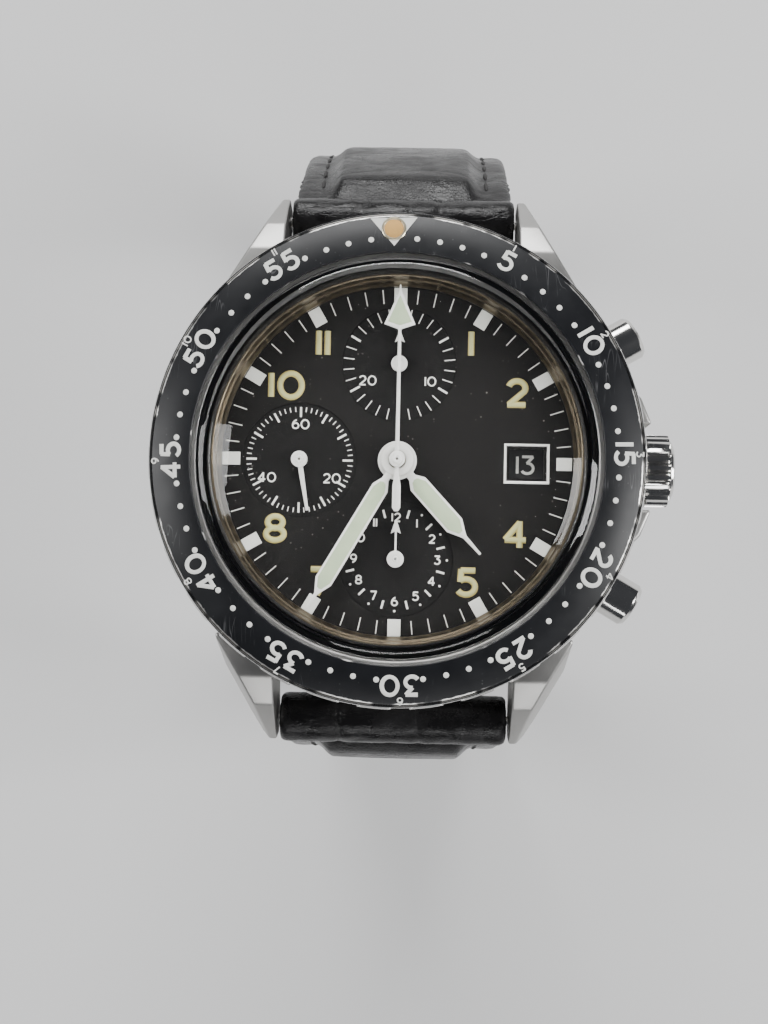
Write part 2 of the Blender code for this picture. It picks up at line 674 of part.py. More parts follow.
WHEEL_GAP = 0.12
BARREL_R = 5.0
CENTRE_PINION_R = 0.75
THIRD_PINION_R = 0.6
CENTRE_WHEEL_R = 7.5 * THIRD_PINION_R  # the centre turns once an hour, the fourth wheel once a minute
FOURTH_PINION_R = 0.5
THIRD_WHEEL_R = 8 * FOURTH_PINION_R
FOURTH_WHEEL_R = 4.0
ESCAPE_PINION_R = FOURTH_WHEEL_R / 10
ESCAPE_WHEEL_R = 2.3
BALANCE_R = 3.9
CANNON_PINION_R = 0.95
MINUTE_WHEEL_R = 3 * CANNON_PINION_R  # 3 and 4 make the hour hand's 12
MINUTE_PINION_R = (CANNON_PINION_R + MINUTE_WHEEL_R) / 5
HOUR_WHEEL_R = 4 * MINUTE_PINION_R


def two_circles(first, first_r, second, second_r):
    """The lower crossing of two circles, where a wheel reaches both of its neighbours."""
    first, second = Vector(first), Vector(second)
    span = second - first
    along = (first_r**2 - second_r**2 + span.length_squared) / (2 * span.length)
    side = math.sqrt(first_r**2 - along**2)
    base = first + span.normalized() * along
    across = Vector((-span.y, span.x)).normalized()
    crossings = [base + across * side, base - across * side]
    return tuple(min(crossings, key=lambda p: p.y))


FOURTH_AT = (-COUNTER_OFFSET, 0.0)
THIRD_AT = two_circles(
    (0, 0), CENTRE_WHEEL_R + THIRD_PINION_R + WHEEL_GAP,
    FOURTH_AT, THIRD_WHEEL_R + FOURTH_PINION_R + WHEEL_GAP,
)
ESCAPE_AT = arc(FOURTH_WHEEL_R + ESCAPE_PINION_R + WHEEL_GAP, 115, 115, 1, FOURTH_AT)[0]
BARREL_AT = arc(BARREL_R + CENTRE_PINION_R + WHEEL_GAP, 50, 50, 1)[0]
BALANCE_AT = (-3.4, 9.7)
PALLET_AT = (-8.4, 7.5)


def toothed(radius, teeth):
    depth = min(0.3, 0.15 * radius)
    points = []
    for i in range(teeth):
        points.append(arc(radius, 360 * i / teeth, 360 * i / teeth, 1)[0])
        half = 360 * (i + 0.5) / teeth
        points.append(arc(radius - depth, half, half, 1)[0])
    return points


def build_wheel(name, at, radius, teeth, low, arbor, bore=None):
    """A toothed wheel on its turned arbor."""
    wheel = prism(name, toothed(radius, teeth), low, low + 0.28, BRASS, at=(*at, 0))
    join(wheel, turned(name + "_arbor", arbor, None, COARSE, at=(*at, 0)))
    if bore:
        drilled(wheel, [((*at, 0), (*at, 14), bore)])
    return wheel


def stepped_arbor(low, high, radius, pinion_r, pinion_low, pinion_high):
    return [
        (0, high), (radius, high), (radius, pinion_high), (pinion_r, pinion_high), (pinion_r, pinion_low),
        (radius, pinion_low), (radius, low), (0, low),
    ]


def build_train():
    low, high = TRAIN_LOW, PLATE_LOW - 0.1
    first, second, third, fourth = low + 0.12, low + 0.6, low + 1.1, low + 1.6
    build_wheel(
        "centre_wheel", (0, 0), CENTRE_WHEEL_R, 30, first,
        stepped_arbor(low, high, 0.6, CENTRE_PINION_R, second + 0.25, high - 0.1), CHRONO_ARBOR_R + 0.15,
    )
    barrel = [
        (0, high), (0.8, high), (0.8, high - 0.1), (BARREL_R - 0.4, high - 0.1),
        (BARREL_R - 0.4, second + 0.1),
        (0.8, second + 0.1), (0.8, low), (0, low),
    ]
    build_wheel("mainspring_barrel", BARREL_AT, BARREL_R, 36, second + 0.25, barrel)
    build_wheel(
        "third_wheel", THIRD_AT, THIRD_WHEEL_R, 26, second,
        stepped_arbor(low, high, 0.25, THIRD_PINION_R, first - 0.05, first + 0.33),
    )
    top = SMALL_HAND_LOW + HAND_THICK
    arbor = stepped_arbor(low, top, SMALL_ARBOR_R, FOURTH_PINION_R, second - 0.05, second + 0.33)
    build_wheel("fourth_wheel", FOURTH_AT, FOURTH_WHEEL_R, 28, third, arbor)
    build_wheel(
        "escape_wheel", ESCAPE_AT, ESCAPE_WHEEL_R, 15, fourth,
        stepped_arbor(low, high, 0.2, ESCAPE_PINION_R, third - 0.05, third + 0.33),
    )
    build_escapement(low, high, fourth)


def build_escapement(low, high, level):
    """The pallet fork between the escape wheel and the balance, the balance, and its hairspring."""
    px, py = PALLET_AT
    to_wheel = Vector(ESCAPE_AT) - Vector(PALLET_AT)
    to_balance = Vector(BALANCE_AT) - Vector(PALLET_AT)
    lever = to_balance.length - 1.15
    across = math.degrees(math.atan2(to_balance.y, to_balance.x))
    fork = prism("pallet_fork", [
        (-0.5, -0.35), (lever, -0.22), (lever, 0.22), (-0.5, 0.35),
    ], level, level + 0.25, STEEL, at=(px, py, 0), turn=(0, 0, across))
    reach = to_wheel.length - ESCAPE_WHEEL_R - 0.3
    anchor = prism("pallet_anchor", [
        (0.0, -1.5), (reach - 0.35, -1.7), (reach - 0.05, -1.9), (reach - 0.05, -1.3), (reach - 0.7, -1.0),
        (0.5, -0.4), (0.5, 0.4), (reach - 0.7, 1.0), (reach - 0.05, 1.3), (reach - 0.05, 1.9),
        (reach - 0.35, 1.7), (0.0, 1.5), (-0.4, 0.5), (-0.4, -0.5),
    ], level + 0.03, level + 0.22, None, at=(px, py, 0),
        turn=(0, 0, math.degrees(math.atan2(to_wheel.y, to_wheel.x))))
    join(fork, anchor)
    staff = turned("pallet_staff", [(0, high), (0.2, high), (0.2, low), (0, low)], None, 8, at=(px, py, 0))
    join(fork, staff)
    rim = [
        (BALANCE_R - 0.4, low + 0.5), (BALANCE_R, low + 0.5), (BALANCE_R, low + 0.1),
        (BALANCE_R - 0.4, low + 0.1),
    ]
    where = {"at": (*BALANCE_AT, 0)}
    balance = turned("balance_wheel", rim, BRASS, MEDIUM, **where)
    spoke = place("balance_spoke", boxes_mesh("balance_spoke", [
        ((-BALANCE_R + 0.2, -0.3, low + 0.2), (BALANCE_R - 0.2, 0.3, low + 0.4)),
    ]), None, **where)
    join(balance, spoke)
    staff = turned("balance_staff", [
        (0, high), (0.2, high), (0.2, level + 0.28), (0.8, level + 0.28), (0.8, level - 0.02),
        (0.2, level - 0.02),
        (0.2, low), (0, low),
    ], None, COARSE, **where)
    join(balance, staff)
    turns, per_turn = 3, 12
    spiral = []
    for i in range(turns * per_turn + 1):
        radius = 0.5 + 0.45 * i / per_turn
        angle = 2 * math.pi * i / per_turn
        spiral.append((radius * math.cos(angle), radius * math.sin(angle), low + 0.85))
    wire("hairspring", spiral, 0.06, BLUED_STEEL, at=(*BALANCE_AT, 0))


def build_plates():
    """The main plate under the dial, the two bridges and the cock over the train, and the holder ring."""
    plate = turned("main_plate", [
        (0, PLATE_TOP), (MOVEMENT_R, PLATE_TOP), (MOVEMENT_R, PLATE_LOW), (0, PLATE_LOW),
    ], BRASS, 48)
    holes = [((0, 0, 5), (0, 0, 8), CANNON_R + 0.4), ((*FOURTH_AT, 5), (*FOURTH_AT, 8), SMALL_ARBOR_R + RUN)]
    drilled(plate, holes, 16)
    rim_r = MOVEMENT_R - 0.5
    lower = arc(rim_r, 178, 356, 24) + [(3.0, -0.6), (-3.0, 0.4)]
    bridge = prism("train_bridge", lower, BRIDGE_LOW, BRIDGE_TOP, BRASS)
    pillars = [arc(rim_r - 1.1, a, a, 1)[0] for a in (215, 270, 325)]
    add_pillars(bridge, pillars)
    upper = arc(rim_r, 358, 434, 12) + [(3.4, 4.0), (-1.2, 2.4), (3.2, -0.2)]
    bridge = prism("chronograph_bridge", upper, BRIDGE_LOW, BRIDGE_TOP, BRASS)
    add_pillars(bridge, [arc(rim_r - 1.1, a, a, 1)[0] for a in (30, 60)])
    foot = arc(rim_r, 88, 138, 8)
    cock = prism("balance_cock", foot + [(-5.6, 6.6), (-1.8, 6.8), (-0.6, 9.4)], BRIDGE_LOW, BRIDGE_TOP, BRASS)
    add_pillars(cock, [arc(rim_r - 0.75, 132, 132, 1)[0]], 0.55)
    in_r = MOVEMENT_R + GAP
    holder = turned("movement_holder", [
        (in_r, 8.1), (in_r + HOLDER_WALL, 8.1), (in_r + HOLDER_WALL, 3.4), (in_r, 3.4),
    ], RUBBER, 40)
    ways = [radial(a, in_r - 1, in_r + 2, PUSHER_STEM_R + 0.3) for a in (0, PUSHER_ANGLE, -PUSHER_ANGLE)]
    drilled(holder, ways)


def add_pillars(bridge, places, radius=0.8):
    rods = [((x, y, BRIDGE_LOW + 0.1), (x, y, PLATE_LOW - 0.1), radius) for x, y in places]
    name = bridge.name + "_pillars"
    join(bridge, place(name, rods_mesh(name, rods), None))


def build_rotor():
    """The winding rotor: a half disc with a heavy rim, on a hub over the middle of the bridges."""
    hub_r = 1.6
    turned("rotor_hub", [
        (0, BRIDGE_LOW - 0.1), (hub_r, BRIDGE_LOW - 0.1), (hub_r, ROTOR_LOW + 0.1), (0, ROTOR_LOW + 0.1),
    ], STEEL, 24)
    eye_r = hub_r + 0.15
    eye_low = ROTOR_WEB - 0.2
    eye = [(eye_r, ROTOR_TOP), (eye_r + 1.4, ROTOR_TOP), (eye_r + 1.4, eye_low), (eye_r, eye_low)]
    rotor = turned("winding_rotor", eye, STEEL, 24)
    web_in = eye_r + 0.7
    web = arc(ROTOR_WEIGHT_IN_R + 0.3, 200, 340, 16) + [(web_in, -0.2), (0.0, -web_in), (-web_in, -0.2)]
    join(rotor, prism("rotor_web", web, ROTOR_WEB, ROTOR_WEB + 0.35, None))
    out_r = LOWER_BORE_R - GAP - THREAD_WALL - 0.6
    weight = arc(out_r, 195, 345, 24) + arc(ROTOR_WEIGHT_IN_R, 345, 195, 20)
    join(rotor, prism("rotor_weight", weight, ROTOR_LOW, ROTOR_TOP, None))


def build_motion_works():
    """What turns the hands: the runner, the cannon pinion, the minute wheel and the hour wheel."""
    runner = [
        (0, SECONDS_LOW + HAND_THICK), (CHRONO_ARBOR_R, SECONDS_LOW + HAND_THICK),
        (CHRONO_ARBOR_R, RUNNER_LOW - 0.07), (0, RUNNER_LOW - 0.07),
    ]
    build_wheel("chronograph_runner", (0, 0), 3.0, 30, RUNNER_LOW, runner)
    cannon_top = MINUTE_LOW + HAND_THICK
    cannon = [
        (0, cannon_top), (CANNON_R, cannon_top), (CANNON_R, WORKS_LOW), (0, WORKS_LOW),
    ]
    build_wheel("cannon_pinion", (0, 0), CANNON_PINION_R, 12, WORKS_LOW, cannon, CHRONO_ARBOR_R + RUN)
    hour_level = DIAL_LOW - 0.45
    hour_top = HOUR_LOW + HAND_THICK
    pipe = [(0, hour_top), (HOUR_PIPE_R, hour_top), (HOUR_PIPE_R, hour_level), (0, hour_level)]
    build_wheel("hour_wheel", (0, 0), HOUR_WHEEL_R, 40, hour_level, pipe, CANNON_R + RUN)
    minute_at = arc(CANNON_PINION_R + MINUTE_WHEEL_R + WHEEL_GAP, -45, -45, 1)[0]
    post = [
        (0, DIAL_LOW - 0.1), (MINUTE_PINION_R, DIAL_LOW - 0.1), (MINUTE_PINION_R, hour_level),
        (0.3, hour_level),
        (0.3, WORKS_LOW - 0.05), (0, WORKS_LOW - 0.05),
    ]
    build_wheel("minute_wheel", minute_at, MINUTE_WHEEL_R, 36, WORKS_LOW, post)
    for name, y in (("minute_counter_arbor", COUNTER_OFFSET), ("hour_counter_arbor", -COUNTER_OFFSET)):
        top = SMALL_HAND_LOW + HAND_THICK
        turned(name, [
            (0, top), (SMALL_ARBOR_R, top), (SMALL_ARBOR_R, WORKS_LOW + 0.35), (0.85, WORKS_LOW + 0.35),
            (0.85, WORKS_LOW), (0, WORKS_LOW),
        ], STEEL, COARSE, at=(0, y, 0))


# ---------------------------------------------------------------- strap


def smooth_path(points, per_span=3):
    """Points on a Catmull-Rom curve through the given points."""
    ends = [tuple(2 * a - b for a, b in zip(points[0], points[1]))]
    tails = [tuple(2 * a - b for a, b in zip(points[-1], points[-2]))]
    p = [Vector(q) for q in ends + points + tails]
    path = []
    for i in range(1, len(p) - 2):
        for k in range(per_span):
            t = k / per_span
            path.append(0.5 * (
                2 * p[i] + (p[i + 1] - p[i - 1]) * t
                + (2 * p[i - 1] - 5 * p[i] + 4 * p[i + 1] - p[i + 2]) * t**2
                + (3 * p[i] - p[i - 1] - 3 * p[i + 1] + p[i + 2]) * t**3
            ))
    return path + [p[-2]]


def lengths(path):
    total, marks = 0.0, [0.0]
    for a, b in zip(path, path[1:]):
        total += (b - a).length
        marks.append(total)
    return marks


def normals(path):
    """Unit vectors square to the path, to the left of its way."""
    result = []
    for i in range(len(path)):
        way = (path[min(i + 1, len(path) - 1)] - path[max(i - 1, 0)]).normalized()
        result.append(Vector((-way.y, way.x)))
    return result


def short_path():
    """The middle of the strap's short half, from the 12 o'clock spring bar to the buckle's bar."""
    bar, low = CASE_Z + BAR_Z, INNER_Z
    drop = bar - low
    return smooth_path([
        (BAR_Y, bar), (BAR_Y + 3.8, bar - drop * 0.092), (BAR_Y + 7.4, bar - drop * 0.215),
        (BAR_Y + 10.4, bar - drop * 0.366), (BAR_Y + 11.7, bar - drop * 0.531),
        (BAR_Y + 10.6, bar - drop * 0.7), (BAR_Y + 6.7, bar - drop * 0.862), (BAR_Y + 0.4, bar - drop * 0.967),
        (15.0, low), (8.0, low), (0.5, low), (HINGE_Y, low),
    ])


def tail_path():
    """The outer layer: the short half's path, seen from the buckle, and set off by the layers' distance."""
    inner = [p for p in short_path() if p.x > 0 and p.y < INNER_Z + TAIL_RISE][::-1]
    return [p - side * (INNER_Z - TAIL_Z) for p, side in zip(inner, normals(inner))]


def long_path():
    """The middle of the long half, from the 6 o'clock spring bar through the buckle to the tip."""
    bar, low = CASE_Z + BAR_Z, TAIL_Z
    drop = bar - low
    own = smooth_path([
        (-BAR_Y, bar), (-BAR_Y - 1.8, bar - drop * 0.11), (-BAR_Y - 2.8, bar - drop * 0.24),
        (-BAR_Y - 3.2, bar - drop * 0.41), (-BAR_Y - 3.5, bar - drop * 0.57), (-BAR_Y - 2.4, bar - drop * 0.72),
        (-BAR_Y + 0.4, bar - drop * 0.87), (FRAME_END_Y + 1.2, low + 1.0), (HINGE_Y - 5, low + 0.55),
        (HINGE_Y, low), (-3.0, low),
    ])
    return own + tail_path()


def strap_shape(name, path, half_width, thickness):
    """A band lofted along the path, with a width and a thickness that change with the length."""
    shape = bmesh.new()
    marks = lengths(path)
    rings = []
    for point, normal, mark in zip(path, normals(path), marks):
        w, t = half_width(mark, marks[-1]), thickness(mark, marks[-1]) / 2
        corners = [(-w, -t * 0.7), (-w * 0.86, -t), (w * 0.86, -t), (w, -t * 0.7), (w, t * 0.7), (-w, t * 0.7)]
        ring = []
        for x, off in corners:
            spot = point + normal * off
            ring.append(shape.verts.new((x * MM, spot.x * MM, spot.y * MM)))
        rings.append(ring)
    for a, b in zip(rings, rings[1:]):
        for i in range(len(a)):
            j = (i + 1) % len(a)
            shape.faces.new((a[i], a[j], b[j], b[i]))
    shape.faces.new(rings[0][::-1])
    shape.faces.new(rings[-1])
    return place(name, to_mesh(name, shape), LEATHER, parent=None)


def band_half(mark, total, tip=0.0):
    half = STRAP_ROOT_HALF + (STRAP_END_HALF - STRAP_ROOT_HALF) * min(mark / (0.6 * total), 1.0)
    left = total - mark
    if tip and left < tip:
        half *= 0.3 + 0.7 * math.sin(math.pi / 2 * left / tip)
    return half


def band_thickness(mark, _total):
    return END_THICK + (ROOT_THICK - END_THICK) * max(0.0, 1 - mark / 42.0)


def roll(name, y, z, radius, half):
    rod = ((-half, y, z), (half, y, z), radius)
    return place(name, rods_mesh(name, [rod], 20), None, parent=None)


def build_strap():
    bar_z = CASE_Z + BAR_Z
    short = strap_shape("strap_short_half", short_path(), band_half, band_thickness)
    join(short, roll("short_root_roll", BAR_Y, bar_z, ROLL_R, STRAP_ROOT_HALF - 0.05))
    join(short, roll("short_end_roll", HINGE_Y, INNER_Z, HINGE_ROLL_R, STRAP_END_HALF - 0.05))
    drilled(short, [
        ((-12, BAR_Y, bar_z), (12, BAR_Y, bar_z), TUNNEL_R),
        ((-12, HINGE_Y, INNER_Z), (12, HINGE_Y, INNER_Z), HINGE_R + 0.2),
    ])
    slot = ((-TONGUE_HALF - 0.4, HINGE_Y - 4, 0), (TONGUE_HALF + 0.4, HINGE_Y + 2.2, INNER_Z + 4))
    cut(short, place("tongue_slot", boxes_mesh("tongue_slot", [slot]), None, parent=None))

    path = long_path()
    long_half = strap_shape("strap_long_half", path, lambda m, t: band_half(m, t, 9.0), band_thickness)
    join(long_half, roll("long_root_roll", -BAR_Y, bar_z, ROLL_R, STRAP_ROOT_HALF - 0.05))
    drilled(long_half, [((-12, -BAR_Y, bar_z), (12, -BAR_Y, bar_z), TUNNEL_R)])
    pass_slot = ((-TONGUE_HALF - 0.4, HINGE_Y - 7.3, 0), (TONGUE_HALF + 0.4, HINGE_Y - 2.7, TAIL_Z + 4))
    cut(long_half, place("tongue_pass", boxes_mesh("tongue_pass", [pass_slot]), None, parent=None))
    drilled(long_half, strap_holes(path), 8)


def strap_holes(path):
    """Rods through the band at the hole pitch, on both sides of the hole in use."""
    marks, sides = lengths(path), normals(path)
    used = marks[min(range(len(path)), key=lambda i: (path[i] - Vector((HINGE_Y - 5, TAIL_Z))).length)]
    rods = []
    for step in (-3, -2, 2, 3, 4):
        i = min(range(len(path)), key=lambda k: abs(marks[k] - used - step * HOLE_PITCH))
        a, b = path[i] - sides[i] * 2, path[i] + sides[i] * 2
        rods.append(((0, a.x, a.y), (0, b.x, b.y), HOLE_R))
    return rods


def build_spring_bars():
    reach = LUG_GAP / 2 + 1.1
    shoulder = LUG_GAP / 2 - 0.35
    profile = [
        (0, reach), (BAR_TIP_R, reach), (BAR_TIP_R, shoulder), (BAR_R, shoulder), (BAR_R, -shoulder),
        (BAR_TIP_R, -shoulder), (BAR_TIP_R, -reach), (0, -reach),
    ]
    for name, y in (("spring_bar_12", BAR_Y), ("spring_bar_6", -BAR_Y)):
        turned(name, profile, STEEL, COARSE, at=(0, y, BAR_Z), turn=(0, 90, 0))


def build_keeper(name, y):
    """A rectangular leather loop round both layers, with a flat underside."""
    half = STRAP_END_HALF + 0.5
    top = INNER_Z + END_THICK / 2 + 0.45
    low = (-half - KEEPER_WALL, y - KEEPER_WIDE / 2, 0)
    high = (half + KEEPER_WALL, y + KEEPER_WIDE / 2, top + KEEPER_WALL)
    keeper = place(name, boxes_mesh(name, [(low, high)]), LEATHER, parent=None)
    hole_low, hole_high = (-half, y - KEEPER_WIDE, KEEPER_WALL + 0.05), (half, y + KEEPER_WIDE, top)
    cut(keeper, place(name + "_hole", boxes_mesh(name + "_hole", [(hole_low, hole_high)]), None, parent=None))
    bevel = keeper.modifiers.new("edge", "BEVEL")
    bevel.width = 0.3 * MM
    bevel.segments = 1
    bevel.limit_method = "ANGLE"


def build_buckle():
    hinge = (HINGE_Y, INNER_Z)
    end = FRAME_END_Y
    eye = arc(1.3, 60, -110, 8, hinge)
    side = [
        (end, 0), (end + 2.0, 0), (end + 3.4, 0.3),
    ] + eye[::-1] + [(HINGE_Y - 2.5, INNER_Z + 0.6), (end + 3.0, 2.2), (end + 1.4, 2.0), (end, 1.4)]
    half = (FRAME_OUT_X - FRAME_IN_X) / 2
    frame = side_prism("buckle_frame", side, half, STEEL, (FRAME_OUT_X + FRAME_IN_X) / 2, parent=None)
    other = side_prism("buckle_arm", side, half, None, -(FRAME_OUT_X + FRAME_IN_X) / 2, parent=None)
    bar_box = ((-FRAME_OUT_X + 0.3, end + 0.05, 0.0), (FRAME_OUT_X - 0.3, end + 1.9, 1.9))
    bar = place("buckle_bar", boxes_mesh("buckle_bar", [bar_box]), None, parent=None)
    join(frame, bar)
    join(frame, other)
    groove = ((-TONGUE_HALF - 0.2, end - 1, -1), (TONGUE_HALF + 0.2, end + 3, 1.05))
    cut(frame, place("tongue_groove", boxes_mesh("tongue_groove", [groove]), None, parent=None))
    drilled(frame, [((-15, *hinge), (15, *hinge), BAR_TIP_R + 0.15)])

    top = INNER_Z
    tongue = arc(1.15, -150, 150, 12, hinge) + [
        (HINGE_Y - 3.2, top + 0.1), (HINGE_Y - 6.4, 0.85), (end + 0.5, 0.8), (end + 0.3, 0.4),
        (end + 0.5, 0.0), (HINGE_Y - 6.8, 0.0), (HINGE_Y - 5.9, 0.5), (HINGE_Y - 3.0, top - 0.9),
    ]
    tongue = side_prism("buckle_tongue", tongue, TONGUE_HALF, STEEL, parent=None)
    drilled(tongue, [((-3, *hinge), (3, *hinge), HINGE_R + 0.1)])

    reach, shoulder = FRAME_OUT_X - 0.4, FRAME_IN_X - 0.15
    profile = [
        (0, reach), (BAR_TIP_R, reach), (BAR_TIP_R, shoulder), (HINGE_R, shoulder), (HINGE_R, -shoulder),
        (BAR_TIP_R, -shoulder), (BAR_TIP_R, -reach), (0, -reach),
    ]
    turned("buckle_spring_bar", profile, STEEL, COARSE, parent=None, at=(0, *hinge), turn=(0, 90, 0))


# ---------------------------------------------------------------- the watch

build_mid_case()
build_case_back()
build_bezel()
build_crystal()
build_crown()
build_pusher("pusher_start", PUSHER_ANGLE)
build_pusher("pusher_reset", -PUSHER_ANGLE)
build_dial()
build_hands()
build_train()
build_plates()
build_rotor()
build_motion_works()
build_spring_bars()
build_strap()
build_keeper("fixed_keeper", 0.0)
build_keeper("loose_keeper", LOOSE_KEEPER_Y)
build_buckle()
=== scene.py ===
"""A self-winding pilot's chronograph on a worn padded leather strap, built round its CAD frame.

Metres in the scene, millimetres in the settings. +Z is the dial's normal, +Y is 12 o'clock, +X the crown.
"""

import json
import math

import bmesh
import bpy
from mathutils import Matrix, Vector, noise


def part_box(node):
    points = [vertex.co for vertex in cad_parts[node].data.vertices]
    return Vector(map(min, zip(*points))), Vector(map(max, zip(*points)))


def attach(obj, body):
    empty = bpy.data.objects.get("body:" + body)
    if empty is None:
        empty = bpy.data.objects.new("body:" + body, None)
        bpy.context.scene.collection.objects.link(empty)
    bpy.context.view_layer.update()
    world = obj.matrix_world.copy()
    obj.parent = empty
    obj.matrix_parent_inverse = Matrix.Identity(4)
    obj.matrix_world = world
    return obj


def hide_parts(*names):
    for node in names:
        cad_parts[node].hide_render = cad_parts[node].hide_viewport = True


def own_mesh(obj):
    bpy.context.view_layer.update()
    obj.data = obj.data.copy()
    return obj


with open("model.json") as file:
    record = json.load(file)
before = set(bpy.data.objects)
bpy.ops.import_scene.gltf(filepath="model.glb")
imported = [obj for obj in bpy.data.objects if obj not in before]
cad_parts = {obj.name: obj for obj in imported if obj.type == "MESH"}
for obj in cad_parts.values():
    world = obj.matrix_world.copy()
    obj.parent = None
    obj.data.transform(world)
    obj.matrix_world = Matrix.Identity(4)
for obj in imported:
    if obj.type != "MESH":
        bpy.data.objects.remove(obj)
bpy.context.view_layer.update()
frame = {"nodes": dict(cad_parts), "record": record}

bl_info = {
    "name": "Pilot's Chronograph",
    "version": (1, 0, 0),
    "blender": (4, 5, 0),
    "location": "View3D > Sidebar > Chronograph",
    "description": "Builds a chronograph wristwatch, its strap and its studio round a fixed frame",
    "category": "Add Mesh",
}

MM = 0.001
CASE_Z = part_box("case_back")[0].z  # the case back's face, which the heights are measured from
LIFT = Matrix.Translation((0, 0, CASE_Z))
BEZEL_STEPS, CASE_STEPS, SMALL_STEPS = 240, 192, 96  # faces round a turned shape
INSERT_IN, INSERT_OUT = (16.9, 12.85), (20.05, 12.4)  # radius and height of the coned insert's edges
DIAL_TOP = 8.75
HAND_THICK = 0.2
SUB_DIALS = {"minutes": (0.0, 8.2), "running": (-8.2, 0.0), "hours": (0.0, -8.2)}


# ---------------------------------------------------------------- settings


class CHRONO_PG_case(bpy.types.PropertyGroup):
    """Sizes of the case, the bezel and the glass."""

    bezel_turn: bpy.props.FloatProperty(
        name="Bezel turn", description="How far the bezel stands from the dial, anticlockwise",
        default=math.radians(1.9), subtype="ANGLE",
    )
    grips: bpy.props.IntProperty(name="Grips", description="Raised tabs round the bezel", default=30, min=6)
    grip_angle: bpy.props.FloatProperty(
        name="Grip width", description="Angle that one tab covers", default=math.radians(8.0),
        subtype="ANGLE",
    )
    number_height: bpy.props.FloatProperty(
        name="Number height", description="Height of the bezel's minute numbers", default=1.85 * MM,
        unit="LENGTH",
    )
    dot_radius: bpy.props.FloatProperty(
        name="Dot radius", description="Radius of the bezel's minute dots", default=0.25 * MM,
        unit="LENGTH",
    )
    button_travel: bpy.props.FloatProperty(
        name="Button travel", description="How far a button goes in", default=0.8 * MM, unit="LENGTH",
    )
    edge: bpy.props.FloatProperty(
        name="Edge", description="Rounding of the steel edges", default=0.14 * MM, unit="LENGTH",
    )


class CHRONO_PG_dial(bpy.types.PropertyGroup):
    """Sizes of what is printed and laid on the dial."""

    numeral_height: bpy.props.FloatProperty(
        name="Numeral height", description="Height of the luminous hour numerals", default=2.42 * MM,
        unit="LENGTH",
    )
    numeral_stroke: bpy.props.FloatProperty(
        name="Numeral stroke", description="Width of a luminous stroke", default=0.42 * MM, unit="LENGTH",
    )
    date: bpy.props.IntProperty(name="Date", description="Day in the window", default=13, min=1, max=31)


class CHRONO_PG_strap(bpy.types.PropertyGroup):
    """Sizes of the strap's padding and seams."""

    pad_half: bpy.props.FloatProperty(
        name="Pad half width", description="Half the width of the padded middle", default=6.5 * MM,
        unit="LENGTH",
    )
    edge_height: bpy.props.FloatProperty(
        name="Edge height", description="Height of the flat edges above the strap's middle",
        default=0.62 * MM, unit="LENGTH",
    )
    stitch_pitch: bpy.props.FloatProperty(
        name="Stitch pitch", description="From one stitch to the next", default=2.9 * MM, unit="LENGTH",
    )
    voxel: bpy.props.FloatProperty(
        name="Skin size", description="Size of the leather skin's faces", default=0.26 * MM, unit="LENGTH",
    )


class CHRONO_PG_looks(bpy.types.PropertyGroup):
    """Colours of the finishes."""

    steel: bpy.props.FloatVectorProperty(
        name="Steel", description="Polished steel", subtype="COLOR", size=3, default=(0.67, 0.66, 0.64),
    )
    black: bpy.props.FloatVectorProperty(
        name="Insert black", description="Anodised bezel insert", subtype="COLOR", size=3,
        default=(0.0055, 0.006, 0.0075),
    )
    dial: bpy.props.FloatVectorProperty(
        name="Dial black", description="Matte dial", subtype="COLOR", size=3,
        default=(0.0085, 0.008, 0.0074),
    )
    cream: bpy.props.FloatVectorProperty(
        name="Aged lume", description="Luminous numerals", subtype="COLOR", size=3,
        default=(0.42, 0.42, 0.19),
    )
    hand_lume: bpy.props.FloatVectorProperty(
        name="Hand lume", description="Luminous hands", subtype="COLOR", size=3, default=(0.36, 0.44, 0.29),
    )
    pip: bpy.props.FloatVectorProperty(
        name="Pip", description="Luminous dot of the bezel", subtype="COLOR", size=3,
        default=(0.62, 0.36, 0.11),
    )
    leather: bpy.props.FloatVectorProperty(
        name="Leather", description="Strap leather", subtype="COLOR", size=3,
        default=(0.0075, 0.0072, 0.0076),
    )


class CHRONO_PG_studio(bpy.types.PropertyGroup):
    """The camera and the lamps."""

    camera_place: bpy.props.FloatVectorProperty(
        name="Camera place", description="Where the camera is", subtype="TRANSLATION", size=3,
        default=(1.75 * MM, -12.52 * MM, 185.44 * MM),
    )
    camera_turn: bpy.props.FloatVectorProperty(
        name="Camera turn", description="How the camera is tilted", subtype="EULER", size=3,
        default=(math.radians(3.713), math.radians(1.16), math.radians(1.238)),
    )
    lens: bpy.props.FloatProperty(name="Lens", description="Focal length in millimetres", default=54.14)
    key_power: bpy.props.FloatProperty(
        name="Key power", description="Watts of the large soft lamp", default=5.0,
    )
    sky: bpy.props.FloatProperty(name="Sky", description="Strength of the surroundings", default=0.07)


SETTINGS = {
    "chrono_case": CHRONO_PG_case,
    "chrono_dial": CHRONO_PG_dial,
    "chrono_strap": CHRONO_PG_strap,
    "chrono_looks": CHRONO_PG_looks,
    "chrono_studio": CHRONO_PG_studio,
}


# ---------------------------------------------------------------- mesh helpers, sizes in millimetres


